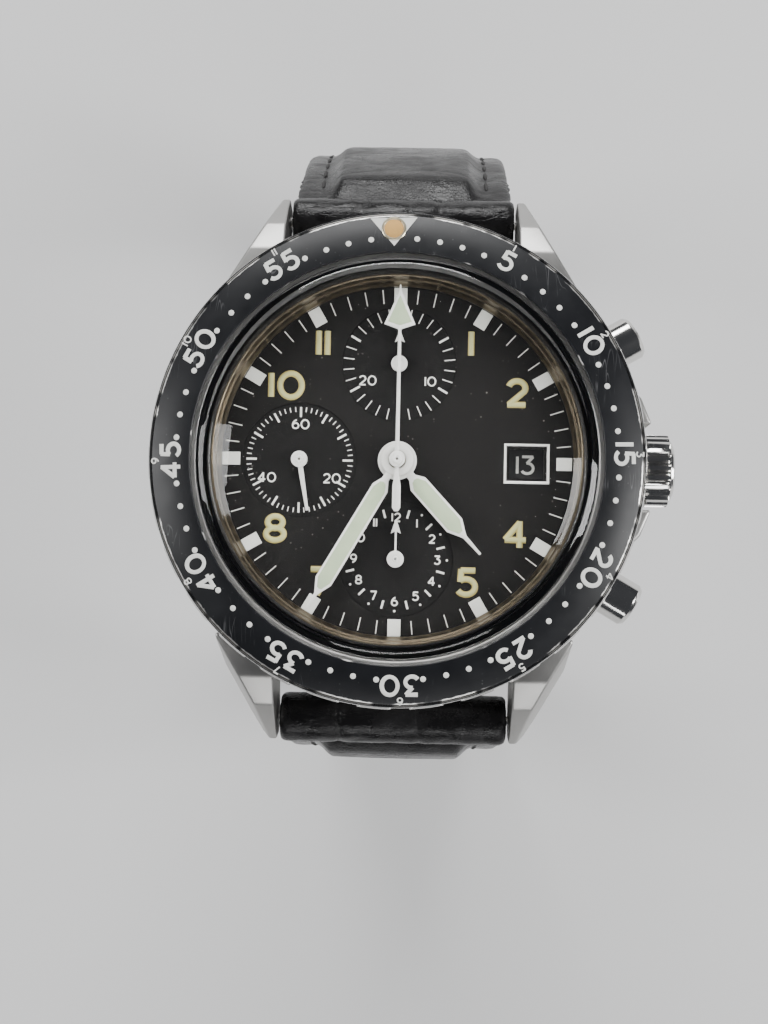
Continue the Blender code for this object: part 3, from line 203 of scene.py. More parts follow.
def spun(profile, steps=160, angle=360.0):
    """A closed profile of (radius, height) turned round Z; one that touches the axis is joined there."""
    shape = bmesh.new()
    verts = [shape.verts.new((r * MM, 0, z * MM)) for r, z in profile]
    edges = [shape.edges.new(pair) for pair in zip(verts, verts[1:])]
    if profile[0][0] > 0 or profile[-1][0] > 0:
        edges.append(shape.edges.new((verts[-1], verts[0])))
    full = abs(angle) >= 360
    geometry = verts + edges
    if not full:
        geometry = geometry + [shape.faces.new(verts)]
    bmesh.ops.spin(
        shape, geom=geometry, cent=(0, 0, 0), axis=(0, 0, 1), angle=math.radians(angle), steps=steps,
        use_merge=full,
    )
    bmesh.ops.remove_doubles(shape, verts=shape.verts, dist=1e-7)
    bmesh.ops.recalc_face_normals(shape, faces=shape.faces)
    return shape


def plate(outline, low, high):
    """An outline in XY, from low to high."""
    shape = bmesh.new()
    face = shape.faces.new([shape.verts.new((x * MM, y * MM, low * MM)) for x, y in outline])
    lifted = bmesh.ops.extrude_face_region(shape, geom=[face])["geom"]
    verts = [v for v in lifted if isinstance(v, bmesh.types.BMVert)]
    bmesh.ops.translate(shape, vec=(0, 0, (high - low) * MM), verts=verts)
    bmesh.ops.recalc_face_normals(shape, faces=shape.faces)
    return shape


def box(low, high):
    shape = bmesh.new()
    size = [(b - a) * MM for a, b in zip(low, high)]
    middle = [(a + b) / 2 * MM for a, b in zip(low, high)]
    bmesh.ops.create_cube(shape, size=1, matrix=Matrix.Translation(middle) @ Matrix.Diagonal((*size, 1)))
    return shape


def softened(shape, width, angle=35.0, segments=3):
    """Rounds every edge sharper than the angle."""
    limit = math.radians(angle)
    edges = [e for e in shape.edges if len(e.link_faces) == 2 and e.calc_face_angle(0) > limit]
    bmesh.ops.bevel(
        shape, geom=edges, offset=width * MM, offset_type="OFFSET", segments=segments, profile=0.5,
        affect="EDGES", material=-1, clamp_overlap=True,
    )
    return shape


def moved(shape, matrix):
    bmesh.ops.transform(shape, matrix=matrix, verts=shape.verts)
    return shape


def together(shapes):
    """One mesh of several, which are used up."""
    whole = bmesh.new()
    for shape in shapes:
        part = bpy.data.meshes.new("part")
        shape.to_mesh(part)
        shape.free()
        whole.from_mesh(part)
        bpy.data.meshes.remove(part)
    return whole


def about_z(degrees):
    return Matrix.Rotation(math.radians(degrees), 4, "Z")


def at(x, y, z=0.0):
    return Matrix.Translation((x * MM, y * MM, z * MM))


def to_mesh(name, shape, smooth=30.0):
    mesh = bpy.data.meshes.new(name)
    shape.to_mesh(mesh)
    shape.free()
    mesh.shade_smooth()
    mesh.set_sharp_from_angle(angle=math.radians(smooth))
    return mesh


def add_piece(name, mesh, material, body, nodes=(), smooth=30.0):
    """A finished piece that rides on a body and stands for the named nodes."""
    if isinstance(mesh, bmesh.types.BMesh):
        mesh = to_mesh(name, mesh, smooth)
    obj = bpy.data.objects.new(name, mesh)
    bpy.context.scene.collection.objects.link(obj)
    mesh.materials.clear()
    mesh.materials.append(material)
    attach(obj, body)
    if nodes:
        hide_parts(*nodes)
    return obj


def refined(node, name, material, body, width, segments=2):
    """A copy of a node with its loose triangles merged and its edges rounded."""
    shape = bmesh.new()
    shape.from_mesh(frame["nodes"][node].data)
    bmesh.ops.remove_doubles(shape, verts=shape.verts, dist=1e-6)
    bmesh.ops.dissolve_limit(
        shape, angle_limit=math.radians(1.0), verts=shape.verts, edges=shape.edges, delimit={"NORMAL"},
    )
    softened(shape, width, 30, segments)
    return add_piece(name, shape, material, body, [node])


def arc(radius, start, end, count, centre=(0.0, 0.0)):
    angles = [math.radians(start + (end - start) * i / count) for i in range(count + 1)]
    return [(centre[0] + radius * math.cos(a), centre[1] + radius * math.sin(a)) for a in angles]


# ---------------------------------------------------------------- numbers drawn as strokes


def oval(x, y, rx, ry, start, end, count=18):
    """Points of a glyph's bowl, in parts of its own width and height."""
    angles = [math.radians(start + (end - start) * i / count) for i in range(count + 1)]
    return [(x + rx * math.cos(a), y + ry * math.sin(a)) for a in angles]


GLYPHS = {  # width as a part of the height, then strokes in parts of the width and height
    "0": (0.86, [oval(0.5, 0.5, 0.5, 0.5, 90, 450, 28)]),
    "1": (0.0, [[(0.5, 0), (0.5, 1)]]),
    "2": (0.68, [oval(0.5, 0.7, 0.48, 0.3, 165, -28) + [(0.03, 0.0)], [(-0.05, 0), (1, 0)]]),
    "3": (0.66, [[(0.0, 1), (1.0, 1)], [(0.98, 1), (0.42, 0.6)], oval(0.46, 0.31, 0.54, 0.31, 96, -150)]),
    "4": (0.78, [[(0.74, -0.06), (0.74, 1.04)], [(0.76, 1), (0.02, 0.26)], [(0.0, 0.26), (1.05, 0.26)]]),
    "5": (0.66, [
        [(0.12, 1), (0.98, 1)], [(0.15, 1.05), (0.1, 0.52)], oval(0.44, 0.32, 0.54, 0.32, 130, -150),
    ]),
    "6": (0.68, [oval(0.5, 0.31, 0.5, 0.31, 90, 450, 24), oval(0.98, 0.36, 0.98, 0.66, 108, 180, 10)]),
    "7": (0.66, [[(-0.05, 1), (1.05, 1)], [(1.0, 1), (0.35, -0.06)]]),
    "8": (0.7, [oval(0.5, 0.75, 0.42, 0.25, 90, 450, 24), oval(0.5, 0.26, 0.5, 0.26, 90, 450, 24)]),
    "9": (0.68, [oval(0.5, 0.69, 0.5, 0.31, 90, 450, 24), oval(0.02, 0.64, 0.98, 0.66, -72, 0, 10)]),
}


def number(text, height, stroke, centre=(0.0, 0.0), turn=0.0, spread=1.0):
    """Strokes of a number, centred on a point, turned anticlockwise by degrees."""
    high, gap = height - stroke, stroke * 1.75
    widths = [GLYPHS[c][0] * high * spread for c in text]
    x = -(sum(widths) + gap * (len(text) - 1)) / 2
    c, s = math.cos(math.radians(turn)), math.sin(math.radians(turn))
    strokes = []
    for glyph, width in zip(text, widths):
        for line in GLYPHS[glyph][1]:
            flat = [(x + u * width, (v - 0.5) * high) for u, v in line]
            strokes.append([(centre[0] + a * c - b * s, centre[1] + a * s + b * c) for a, b in flat])
        x += width + gap
    return strokes


def tick(angle, inner, outer, centre=(0.0, 0.0)):
    """A straight stroke along a radius; the angle is clockwise from 12 o'clock."""
    s, c = math.sin(math.radians(angle)), math.cos(math.radians(angle))
    return [(centre[0] + inner * s, centre[1] + inner * c), (centre[0] + outer * s, centre[1] + outer * c)]


def stroked(lines, width, height, low=0.0):
    """Strokes of a round section pressed flat, lying on the height low."""
    curve = bpy.data.curves.new("strokes", "CURVE")
    curve.dimensions = "3D"
    curve.bevel_depth = width / 2 * MM
    curve.bevel_resolution = 2
    curve.use_fill_caps = True
    for points in lines:
        closed = len(points) > 4 and (Vector(points[0]) - Vector(points[-1])).length < 1e-6
        points = points[:-1] if closed else points
        spline = curve.splines.new("POLY")
        spline.points.add(len(points) - 1)
        spline.use_cyclic_u = closed
        for place, (x, y) in zip(spline.points, points):
            place.co = (x * MM, y * MM, 0, 1)
    holder = bpy.data.objects.new("strokes", curve)
    bpy.context.scene.collection.objects.link(holder)
    bpy.context.view_layer.update()
    mesh = holder.to_mesh()
    shape = bmesh.new()
    shape.from_mesh(mesh)
    holder.to_mesh_clear()
    bpy.data.objects.remove(holder)
    bpy.data.curves.remove(curve)
    bmesh.ops.recalc_face_normals(shape, faces=shape.faces)
    squeeze = Matrix.Diagonal((1, 1, 2 * height / width, 1))
    return moved(shape, at(0, 0, low) @ squeeze)


def disc(radius, low, high, centre=(0.0, 0.0), sides=20):
    profile = [(0, high), (radius * 0.8, high), (radius, (low + high) / 2), (radius, low), (0, low)]
    return moved(spun(profile, sides), at(*centre))


# ---------------------------------------------------------------- shader helpers


def new_material(name):
    material = bpy.data.materials.new(name)
    material.use_nodes = True
    tree = material.node_tree
    return material, tree, tree.nodes["Principled BSDF"]


def set_socket(tree, socket, value):
    """Links a socket to the value, or sets its own value."""
    if isinstance(value, bpy.types.NodeSocket):
        tree.links.new(value, socket)
    else:
        socket.default_value = value


def feed(tree, node, **inputs):
    """Links or sets a node's inputs; an input's spaces are written as _."""
    for name, value in inputs.items():
        set_socket(tree, node.inputs[name.replace("_", " ")], value)


def put(tree, kind, settings=None, **inputs):
    """A new node with its properties and its inputs set."""
    node = tree.nodes.new(kind)
    for name, value in (settings or {}).items():
        setattr(node, name, value)
    feed(tree, node, **inputs)
    return node


def maths(tree, operation, a, b=0.0, clamp=False):
    node = put(tree, "ShaderNodeMath", {"operation": operation, "use_clamp": clamp})
    for socket, value in zip(node.inputs, (a, b)):
        set_socket(tree, socket, value)
    return node.outputs[0]


def times(tree, a, b, clamp=False):
    return maths(tree, "MULTIPLY", a, b, clamp)


def plus(tree, a, b):
    return maths(tree, "ADD", a, b)


def minus(tree, a, b):
    return maths(tree, "SUBTRACT", a, b)


def step(tree, value, low, high):
    """0 below low, 1 above high."""
    smooth = {"interpolation_type": "SMOOTHSTEP"}
    node = put(tree, "ShaderNodeMapRange", smooth, From_Min=low, From_Max=high)
    tree.links.new(value, node.inputs["Value"])
    return node.outputs["Result"]


def blended(tree, factor, a, b):
    """The colour a, and b where the factor is 1."""
    node = put(tree, "ShaderNodeMix", {"data_type": "RGBA"})
    for index, value in ((0, factor), (6, a), (7, b)):
        set_socket(tree, node.inputs[index], value)
    return node.outputs[2]


def rgb(colour, times=1.0):
    return (*[c * times for c in colour], 1.0)


def cloud(tree, place, scale, detail=3.0, roughness=0.55):
    """Noise at a scale per metre."""
    node = put(
        tree, "ShaderNodeTexNoise", None, Vector=place, Scale=scale, Detail=detail, Roughness=roughness,
    )
    return node.outputs[0]


def new_group(name, inputs, outputs):
    tree = bpy.data.node_groups.new(name, "ShaderNodeTree")
    for label, default in inputs.items():
        socket = tree.interface.new_socket(name=label, in_out="INPUT", socket_type="NodeSocketFloat")
        socket.default_value = default
    for label in outputs:
        tree.interface.new_socket(name=label, in_out="OUTPUT", socket_type="NodeSocketFloat")
    return tree, tree.nodes.new("NodeGroupInput").outputs, tree.nodes.new("NodeGroupOutput").inputs


def scratches_group():
    """Thin scratches in two directions, kept to patches. Scale is per metre, Amount from 0 to 1."""
    tree, given, made = new_group("fine_scratches", {"Scale": 900.0, "Amount": 0.5}, ["Mask", "Smudge"])
    place = put(tree, "ShaderNodeTexCoord").outputs["Object"]
    lines = []
    for turn, shift in ((0.5, 0.0), (-0.9, 3.0), (1.9, 7.0)):
        mapped = put(
            tree, "ShaderNodeMapping", None, Vector=place, Rotation=(0.2, 0.1, turn),
            Location=(shift, 0, shift), Scale=(1.0, 0.06, 1.0),
        ).outputs[0]
        band = put(tree, "ShaderNodeTexNoise", None, Vector=mapped, Detail=1.0)
        tree.links.new(given["Scale"], band.inputs["Scale"])
        off = maths(tree, "ABSOLUTE", minus(tree, band.outputs[0], 0.5))
        lines.append(minus(tree, 1.0, step(tree, off, 0.0, 0.006)))
    line = maths(tree, "MAXIMUM", maths(tree, "MAXIMUM", lines[0], lines[1]), lines[2])
    patch = cloud(tree, place, 260.0)
    kept = step(tree, patch, 0.52, 0.66)
    tree.links.new(times(tree, times(tree, line, kept), given["Amount"], True), made["Mask"])
    tree.links.new(cloud(tree, place, 420.0, 4.0), made["Smudge"])
    return tree


def ring_wear_group():
    """Wear along a circle round Z. Radius and Width are in metres, Bare is how much of it is worn."""
    tree, given, made = new_group("ring_wear", {"Radius": 0.02, "Width": 0.0003, "Bare": 0.5}, ["Mask"])
    place = put(tree, "ShaderNodeTexCoord").outputs["Object"]
    flat = put(tree, "ShaderNodeVectorMath", {"operation": "MULTIPLY"})
    tree.links.new(place, flat.inputs[0])
    flat.inputs[1].default_value = (1, 1, 0)
    radius = put(tree, "ShaderNodeVectorMath", {"operation": "LENGTH"})
    tree.links.new(flat.outputs[0], radius.inputs[0])
    off = maths(tree, "ABSOLUTE", minus(tree, radius.outputs["Value"], given["Radius"]))
    ragged = times(tree, cloud(tree, place, 1400.0, 5.0, 0.7), given["Width"])
    near = minus(tree, times(tree, ragged, 2.0), off)
    edge = step(tree, near, 0.0, 0.00006)
    bare = plus(tree, cloud(tree, place, 330.0, 2.0), minus(tree, given["Bare"], 0.5))
    tree.links.new(times(tree, edge, step(tree, bare, 0.46, 0.54)), made["Mask"])
    return tree


def dust_group():
    """Specks of dust. Scale is per metre, Amount from 0 to 1."""
    tree, given, made = new_group("dust_specks", {"Scale": 3000.0, "Amount": 0.5}, ["Mask"])
    place = put(tree, "ShaderNodeTexCoord").outputs["Object"]
    cell = put(tree, "ShaderNodeTexVoronoi", {"feature": "F1"}, Vector=place)
    tree.links.new(given["Scale"], cell.inputs["Scale"])
    speck = minus(tree, 1.0, step(tree, cell.outputs["Distance"], 0.05, 0.22))
    some = put(tree, "ShaderNodeSeparateColor", None, Color=cell.outputs["Color"]).outputs[0]
    chosen = step(tree, some, 0.72, 0.98)
    thick = step(tree, cloud(tree, place, 240.0, 3.0), 0.4, 0.75)
    mask = times(tree, times(tree, speck, chosen), thick)
    tree.links.new(times(tree, mask, given["Amount"], True), made["Mask"])
    return tree


def leather_group():
    """Calf grain with pores and creases. Scale is per metre."""
    tree, given, made = new_group("calf_grain", {"Scale": 1500.0}, ["Height", "Crease", "Rubbed"])
    place = put(tree, "ShaderNodeTexCoord").outputs["Object"]
    bent = put(tree, "ShaderNodeVectorMath", {"operation": "ADD"})
    wobble = put(tree, "ShaderNodeTexNoise", None, Vector=place, Scale=800.0, Detail=2.0)
    small = put(tree, "ShaderNodeVectorMath", {"operation": "SCALE"}, Scale=0.0005)
    tree.links.new(wobble.outputs["Color"], small.inputs[0])
    tree.links.new(place, bent.inputs[0])
    tree.links.new(small.outputs[0], bent.inputs[1])
    cells = put(tree, "ShaderNodeTexVoronoi", {"feature": "DISTANCE_TO_EDGE"}, Vector=bent.outputs[0])
    tree.links.new(given["Scale"], cells.inputs["Scale"])
    pebble = step(tree, cells.outputs["Distance"], 0.0, 0.22)
    fine = cloud(tree, place, 5200.0, 4.0, 0.6)
    across = put(tree, "ShaderNodeMapping", None, Vector=bent.outputs[0], Scale=(0.16, 1.0, 1.0))
    fold = cloud(tree, across.outputs[0], 900.0, 3.0, 0.6)
    off = maths(tree, "ABSOLUTE", minus(tree, fold, 0.5))
    crease = minus(tree, 1.0, step(tree, off, 0.0, 0.03))
    where = step(tree, cloud(tree, place, 190.0, 2.0), 0.45, 0.62)
    crease = times(tree, crease, where)
    height = plus(tree, times(tree, pebble, 0.55), times(tree, fine, 0.45))
    tree.links.new(minus(tree, height, times(tree, crease, 0.9)), made["Height"])
    tree.links.new(crease, made["Crease"])
    tree.links.new(step(tree, cloud(tree, place, 260.0, 4.0), 0.42, 0.7), made["Rubbed"])
    return tree


def grouped(tree, group, **inputs):
    node = tree.nodes.new("ShaderNodeGroup")
    node.node_tree = bpy.data.node_groups[group]
    for name, value in inputs.items():
        node.inputs[name].default_value = value
    return node.outputs


def bump(tree, height, strength, distance):
    return put(tree, "ShaderNodeBump", None, Height=height, Strength=strength, Distance=distance).outputs[0]


def steel_material(name, colour, roughness, scratch, brushed=None):
    """Polished or brushed steel; brushed is the direction along which its lines run."""
    material, tree, shader = new_material(name)
    place = put(tree, "ShaderNodeTexCoord").outputs["Object"]
    worn = grouped(tree, "fine_scratches", Scale=700.0, Amount=scratch)
    feed(tree, shader, Base_Color=blended(tree, worn["Smudge"], rgb(colour, 0.92), rgb(colour, 1.04)))
    shader.inputs["Metallic"].default_value = 1.0
    rough = plus(tree, roughness, times(tree, worn["Smudge"], 0.12))
    feed(tree, shader, Roughness=plus(tree, rough, times(tree, worn["Mask"], 0.25)))
    height = times(tree, worn["Mask"], -1.0)
    if brushed:
        lines = put(tree, "ShaderNodeMapping", None, Vector=place, Scale=brushed).outputs[0]
        height = plus(tree, height, cloud(tree, lines, 9000.0, 2.0))
    feed(tree, shader, Normal=bump(tree, height, 0.25, 0.00002))
    return material


def brass_material(name, colour):
    material, tree, shader = new_material(name)
    worn = grouped(tree, "fine_scratches", Scale=1100.0, Amount=0.4)
    feed(tree, shader, Base_Color=blended(tree, worn["Smudge"], rgb(colour, 0.8), rgb(colour, 1.1)))
    shader.inputs["Metallic"].default_value = 1.0
    feed(tree, shader, Roughness=plus(tree, 0.2, times(tree, worn["Smudge"], 0.25)))
    feed(tree, shader, Normal=bump(tree, worn["Mask"], 0.2, 0.00002))
    return material


def insert_material(name, colour, steel):
    """Black anodised aluminium with rubbed edges, scratches and pale dust."""
    material, tree, shader = new_material(name)
    worn = grouped(tree, "fine_scratches", Scale=900.0, Amount=0.5)
    outer = grouped(tree, "ring_wear", Radius=20.05 * MM, Width=0.13 * MM, Bare=0.52)["Mask"]
    inner = grouped(tree, "ring_wear", Radius=16.9 * MM, Width=0.11 * MM, Bare=0.36)["Mask"]
    dust = grouped(tree, "dust_specks", Scale=2600.0, Amount=0.5)["Mask"]
    bare = maths(tree, "MAXIMUM", outer, inner)
    shade = blended(tree, worn["Smudge"], rgb(colour, 0.8), rgb(colour, 1.5))
    shader.inputs["Specular IOR Level"].default_value = 0.38
    shade = blended(tree, times(tree, worn["Mask"], 0.55), shade, (0.3, 0.3, 0.31, 1))
    shade = blended(tree, times(tree, dust, 0.5), shade, (0.42, 0.42, 0.42, 1))
    feed(tree, shader, Base_Color=blended(tree, bare, shade, rgb(steel)))
    feed(tree, shader, Metallic=times(tree, bare, 0.9))
    rough = plus(tree, 0.26, times(tree, worn["Smudge"], 0.22))
    feed(tree, shader, Roughness=rough)
    height = plus(tree, times(tree, bare, -1.0), times(tree, worn["Mask"], -0.6))
    feed(tree, shader, Normal=bump(tree, height, 0.4, 0.00003))
    return material


def paint_material(name, colour, roughness, mottle=0.12, dust=0.0, grain=0.00001, shine=0.5):
    """Flat paint or luminous filling, a little uneven."""
    material, tree, shader = new_material(name)
    place = put(tree, "ShaderNodeTexCoord").outputs["Object"]
    wave = cloud(tree, place, 700.0, 4.0)
    fine = cloud(tree, place, 9000.0, 3.0, 0.6)
    shade = blended(tree, wave, rgb(colour, 1 - mottle), rgb(colour, 1 + mottle))
    if dust:
        specks = grouped(tree, "dust_specks", Scale=2300.0, Amount=dust)["Mask"]
        shade = blended(tree, specks, shade, (0.33, 0.31, 0.28, 1))
    feed(tree, shader, Base_Color=shade)
    shader.inputs["Specular IOR Level"].default_value = shine
    feed(tree, shader, Roughness=plus(tree, roughness, times(tree, wave, 0.15)))
    feed(tree, shader, Normal=bump(tree, fine, 0.5, grain))
    return material


def acrylic_material(name):
    material, tree, shader = new_material(name)
    worn = grouped(tree, "fine_scratches", Scale=380.0, Amount=0.5)
    shader.inputs["Base Color"].default_value = (1, 1, 1, 1)
    shader.inputs["Transmission Weight"].default_value = 1.0
    shader.inputs["IOR"].default_value = 1.47
    feed(tree, shader, Roughness=times(tree, worn["Mask"], 0.12))
    feed(tree, shader, Normal=bump(tree, worn["Smudge"], 0.05, 0.00002))
    return material


def leather_material(name, colour, rough):
    material, tree, shader = new_material(name)
    hide = grouped(tree, "calf_grain", Scale=3300.0)
    shade = blended(tree, hide["Rubbed"], rgb(colour, 0.8), rgb(colour, 1.4))
    # The creases are darkened to 0.45 of the leather: painted shade in the creases.
    shade = blended(tree, hide["Crease"], shade, rgb(colour, 0.45))
    feed(tree, shader, Base_Color=shade)
    wear = times(tree, hide["Rubbed"], 0.16)
    feed(tree, shader, Roughness=plus(tree, rough, wear))
    shader.inputs["Specular IOR Level"].default_value = 0.25
    feed(tree, shader, Normal=bump(tree, hide["Height"], 0.4, 0.00005))
    return material


def make_finishes(looks):
    for build in (scratches_group, ring_wear_group, dust_group, leather_group):
        build()
    steel = tuple(looks.steel)
    steel_material("polished_steel", steel, 0.07, 0.5)
    # Satin steel for the case middle and the date bevel; its colour, 0.62 of the polished steel, is painted
    # shade for the dark surroundings it reflects.
    steel_material("satin_steel_painted_shade", tuple(c * 0.62 for c in steel), 0.34, 0.6, (1.0, 0.05, 1.0))
    steel_material("works_steel", (0.56, 0.56, 0.56), 0.22, 0.3, (0.05, 1.0, 1.0))
    steel_material("blued_steel", (0.03, 0.06, 0.3), 0.2, 0.2)
    brass_material("gilt_works", (0.72, 0.55, 0.27))
    brass_material("pale_gilt", (0.74, 0.68, 0.5))
    paint_material("numeral_gold", (0.4, 0.33, 0.09), 0.45, 0.2)
    # Dark brown gilt for the tension ring: its own gilt tone, darkened as painted shade for the dark band it
    # shows under the glass.
    brass_material("ring_gilt_painted_shade", (0.2, 0.165, 0.115))
    insert_material("black_insert", tuple(looks.black), steel)
    paint_material("bezel_white", (0.78, 0.78, 0.74), 0.4, 0.08)
    paint_material("pip_lume", tuple(looks.pip), 0.7, 0.35, 0.0, 0.00004)
    paint_material("matte_dial", tuple(looks.dial), 0.62, 0.25, 0.9, 0.000012, 0.12)
    paint_material("sub_dial_black", tuple(c * 0.75 for c in looks.dial), 0.5, 0.2, 0.6, 0.00001, 0.15)
    paint_material("dial_print", (0.75, 0.75, 0.7), 0.5, 0.06)
    paint_material("hour_squares", (0.72, 0.73, 0.68), 0.6, 0.1)
    paint_material("aged_lume", tuple(looks.cream), 0.65, 0.16, 0.0, 0.00003)
    paint_material("hand_white", (0.82, 0.82, 0.78), 0.3, 0.05)
    paint_material("hand_lume", tuple(looks.hand_lume), 0.75, 0.14, 0.2, 0.00004)
    paint_material("date_black", (0.012, 0.012, 0.012), 0.45, 0.2)
    paint_material("black_rubber", (0.02, 0.02, 0.021), 0.7, 0.2)
    acrylic_material("domed_acrylic")
    leather_material("black_leather", tuple(looks.leather), 0.23)
    paint_material("strap_thread", (0.014, 0.013, 0.013), 0.6, 0.3, 0.0, 0.00006)


def finish_of(name):
    return bpy.data.materials[name]


# ---------------------------------------------------------------- pieces


def lug_shape(edge):
    """One lug at the front right, with its outer corner planed off and its edges rounded."""
    side = [
        (14.55, 2.2), (14.55, 8.9), (18.15, 8.6), (20.55, 7.4), (22.45, 5.1), (23.75, 3.2), (23.35, 1.1),
        (21.65, 0.4), (18.45, 1.3),
    ]
    shape = plate(side, 10.0, 14.9)
    moved(shape, Matrix(((0, 0, 1, 0), (1, 0, 0, 0), (0, 1, 0, 0), (0, 0, 0, 1))))
    whole = shape.verts[:] + shape.edges[:] + shape.faces[:]
    cut = bmesh.ops.bisect_plane(
        shape, geom=whole, plane_co=(14.6 * MM, 18.35 * MM, 0),
        plane_no=Vector((5.4, 3.3, 1.1)).normalized(), clear_outer=True,
    )
    rim = [e for e in cut["geom_cut"] if isinstance(e, bmesh.types.BMEdge)]
    bmesh.ops.holes_fill(shape, edges=rim)
    bmesh.ops.recalc_face_normals(shape, faces=shape.faces)
    return softened(shape, edge * 3, 12, 4)


def build_case(case):
    edge = case.edge / MM
    body = [
        (16.6, 11.3), (16.7, 11.4), (17.1, 11.4), (17.2, 11.3), (17.2, 9.3), (19.1, 9.3), (19.45, 9.15),
        (19.6, 8.8), (19.6, 2.8), (19.35, 2.35), (18.9, 1.7), (17.2, 1.7), (17.2, 3.2), (15.7, 3.2),
        (15.7, 8.75), (16.6, 8.75),
    ]
    shapes = [spun(body, CASE_STEPS)]
    for flip_x in (1, -1):
        for flip_y in (1, -1):
            lug = moved(lug_shape(edge), Matrix.Diagonal((flip_x, flip_y, 1, 1)))
            if flip_x * flip_y < 0:
                bmesh.ops.reverse_faces(lug, faces=lug.faces)
            shapes.append(lug)
    guard = [(16.9, 3.6), (21.3, 3.6), (20.4, 5.8), (18.1, 8.2), (16.9, 8.2)]
    shapes.append(softened(plate(guard, 3.0, 8.7), edge * 2, 25, 3))
    shapes.append(softened(plate([(x, -y) for x, y in guard[::-1]], 3.0, 8.7), edge * 2, 25, 3))
    whole = moved(together(shapes), LIFT)
    add_piece("case_middle", whole, finish_of("satin_steel_painted_shade"), "case", ["mid_case"])
    refined("case_back", "screw_back", finish_of("polished_steel"), "case", 0.08)


def grip_shape(case):
    """One raised tab of the bezel, centred on +X."""
    angle = math.degrees(case.grip_angle)
    profile = [(19.7, 9.95), (20.3, 9.95), (20.5, 10.3), (20.5, 11.55), (20.38, 11.95), (19.7, 12.05)]
    tab = spun(profile, 6, angle)
    moved(tab, about_z(-angle / 2))
    bmesh.ops.recalc_face_normals(tab, faces=tab.faces)
    return softened(tab, 0.09, 30, 2)


def on_insert(radius, angle, turn=0.0, lift=0.0):
    """Places a flat thing on the coned insert, its top outwards; the angle is clockwise from 12 o'clock."""
    slope = (INSERT_OUT[1] - INSERT_IN[1]) / (INSERT_OUT[0] - INSERT_IN[0])
    z = INSERT_IN[1] + slope * (radius - INSERT_IN[0]) + lift
    tilt = Matrix.Rotation(math.atan(slope), 4, "X")
    return about_z(-angle) @ at(0, radius, z) @ tilt @ about_z(turn)


def build_bezel(case):
    stand = about_z(math.degrees(case.bezel_turn))
    ring = [
        (17.55, 11.85), (20.13, 11.85), (20.13, 12.28), (20.2, 12.36), (20.28, 12.36), (20.33, 12.25),
        (20.33, 12.1), (20.22, 11.9), (20.22, 10.0), (19.95, 9.7), (17.55, 9.7),
    ]
    shapes = [spun(ring, BEZEL_STEPS)]
    tab = grip_shape(case)
    for i in range(case.grips):
        shapes.append(moved(tab.copy(), about_z(360 * i / case.grips)))
    tab.free()
    whole = moved(together(shapes), LIFT @ stand)
    add_piece("bezel_steel_ring", whole, finish_of("polished_steel"), "bezel", ["bezel_ring"])
    insert = [(16.9, 12.79), (16.97, 12.85), (19.95, 12.42), (20.05, 12.35), (20.05, 12.0), (16.9, 12.45)]
    add_piece("bezel_insert_ring", moved(spun(insert, BEZEL_STEPS), LIFT), finish_of("black_insert"), "bezel",
              ["bezel_insert"])

    high = case.number_height / MM
    marks = []
    for minute in range(1, 60):
        angle = minute * 6
        if minute % 5:
            dot = disc(case.dot_radius / MM, -0.02, 0.025, sides=20)
            marks.append(moved(dot, on_insert(18.08, angle)))
        else:
            text = stroked(number(str(minute), high, 0.36), 0.36, 0.025)
            marks.append(moved(text, on_insert(18.5, angle)))
            small = stroked(number(str(minute // 5), 0.7, 0.13), 0.13, 0.02)
            marks.append(moved(small, on_insert(19.78, angle)))
    triangle = softened(plate([(-1.95, 1.0), (0.0, -1.45), (1.95, 1.0)], -0.03, 0.03), 0.02, 30, 1)
    marks.append(moved(triangle, on_insert(18.85, 0)))
    add_piece("bezel_markings", moved(together(marks), LIFT @ stand), finish_of("bezel_white"), "bezel")
    cup = spun([(0.82, -0.1), (1.02, -0.1), (1.02, 0.05), (0.96, 0.1), (0.86, 0.1), (0.82, 0.05)], 40)
    moved(cup, LIFT @ stand @ on_insert(18.9, 0))
    add_piece("bezel_pip_cup", cup, finish_of("pale_gilt"), "bezel")
    pip = spun([(0, 0.14), (0.4, 0.13), (0.68, 0.09), (0.82, 0.02), (0.82, -0.3), (0, -0.3)], 40)
    moved(pip, LIFT @ stand @ on_insert(18.9, 0))
    add_piece("bezel_pip_lume", pip, finish_of("pip_lume"), "bezel", ["bezel_pip"])


def build_crystal():
    """A domed acrylic glass with a stepped shoulder, over the polished ring that spreads it."""
    outer = [(0.0, 15.5)] + [(15.7 * i / 20, 15.5 - 1.78 * (i / 20) ** 2) for i in range(1, 21)]
    shoulder = [(15.88, 13.66), (16.05, 13.5), (16.3, 13.38), (16.42, 13.22), (16.45, 13.0), (16.45, 8.95)]
    inner = [(15.35, 8.95), (15.35, 11.6)] + [
        (15.05 * s, 14.0 - 2.2 * s * s) for s in [1 - i / 16 for i in range(16)]
    ] + [(0.0, 14.0)]
    glass = moved(spun(outer + shoulder + inner, CASE_STEPS), LIFT)
    glass = add_piece("crystal_dome", glass, finish_of("domed_acrylic"), "case", ["crystal"], 50)
    glass.visible_shadow = False
    ring = [
        (14.65, 9.0), (14.65, 9.3), (14.85, 9.6), (14.9, 10.2), (15.02, 10.25), (15.05, 11.2),
        (15.12, 11.28),
        (15.22, 11.28), (15.25, 11.2), (15.25, 9.0),
    ]
    ring = moved(spun(ring, CASE_STEPS), LIFT)
    add_piece("tension_ring_polished", ring, finish_of("ring_gilt_painted_shade"), "case", ["tension_ring"])


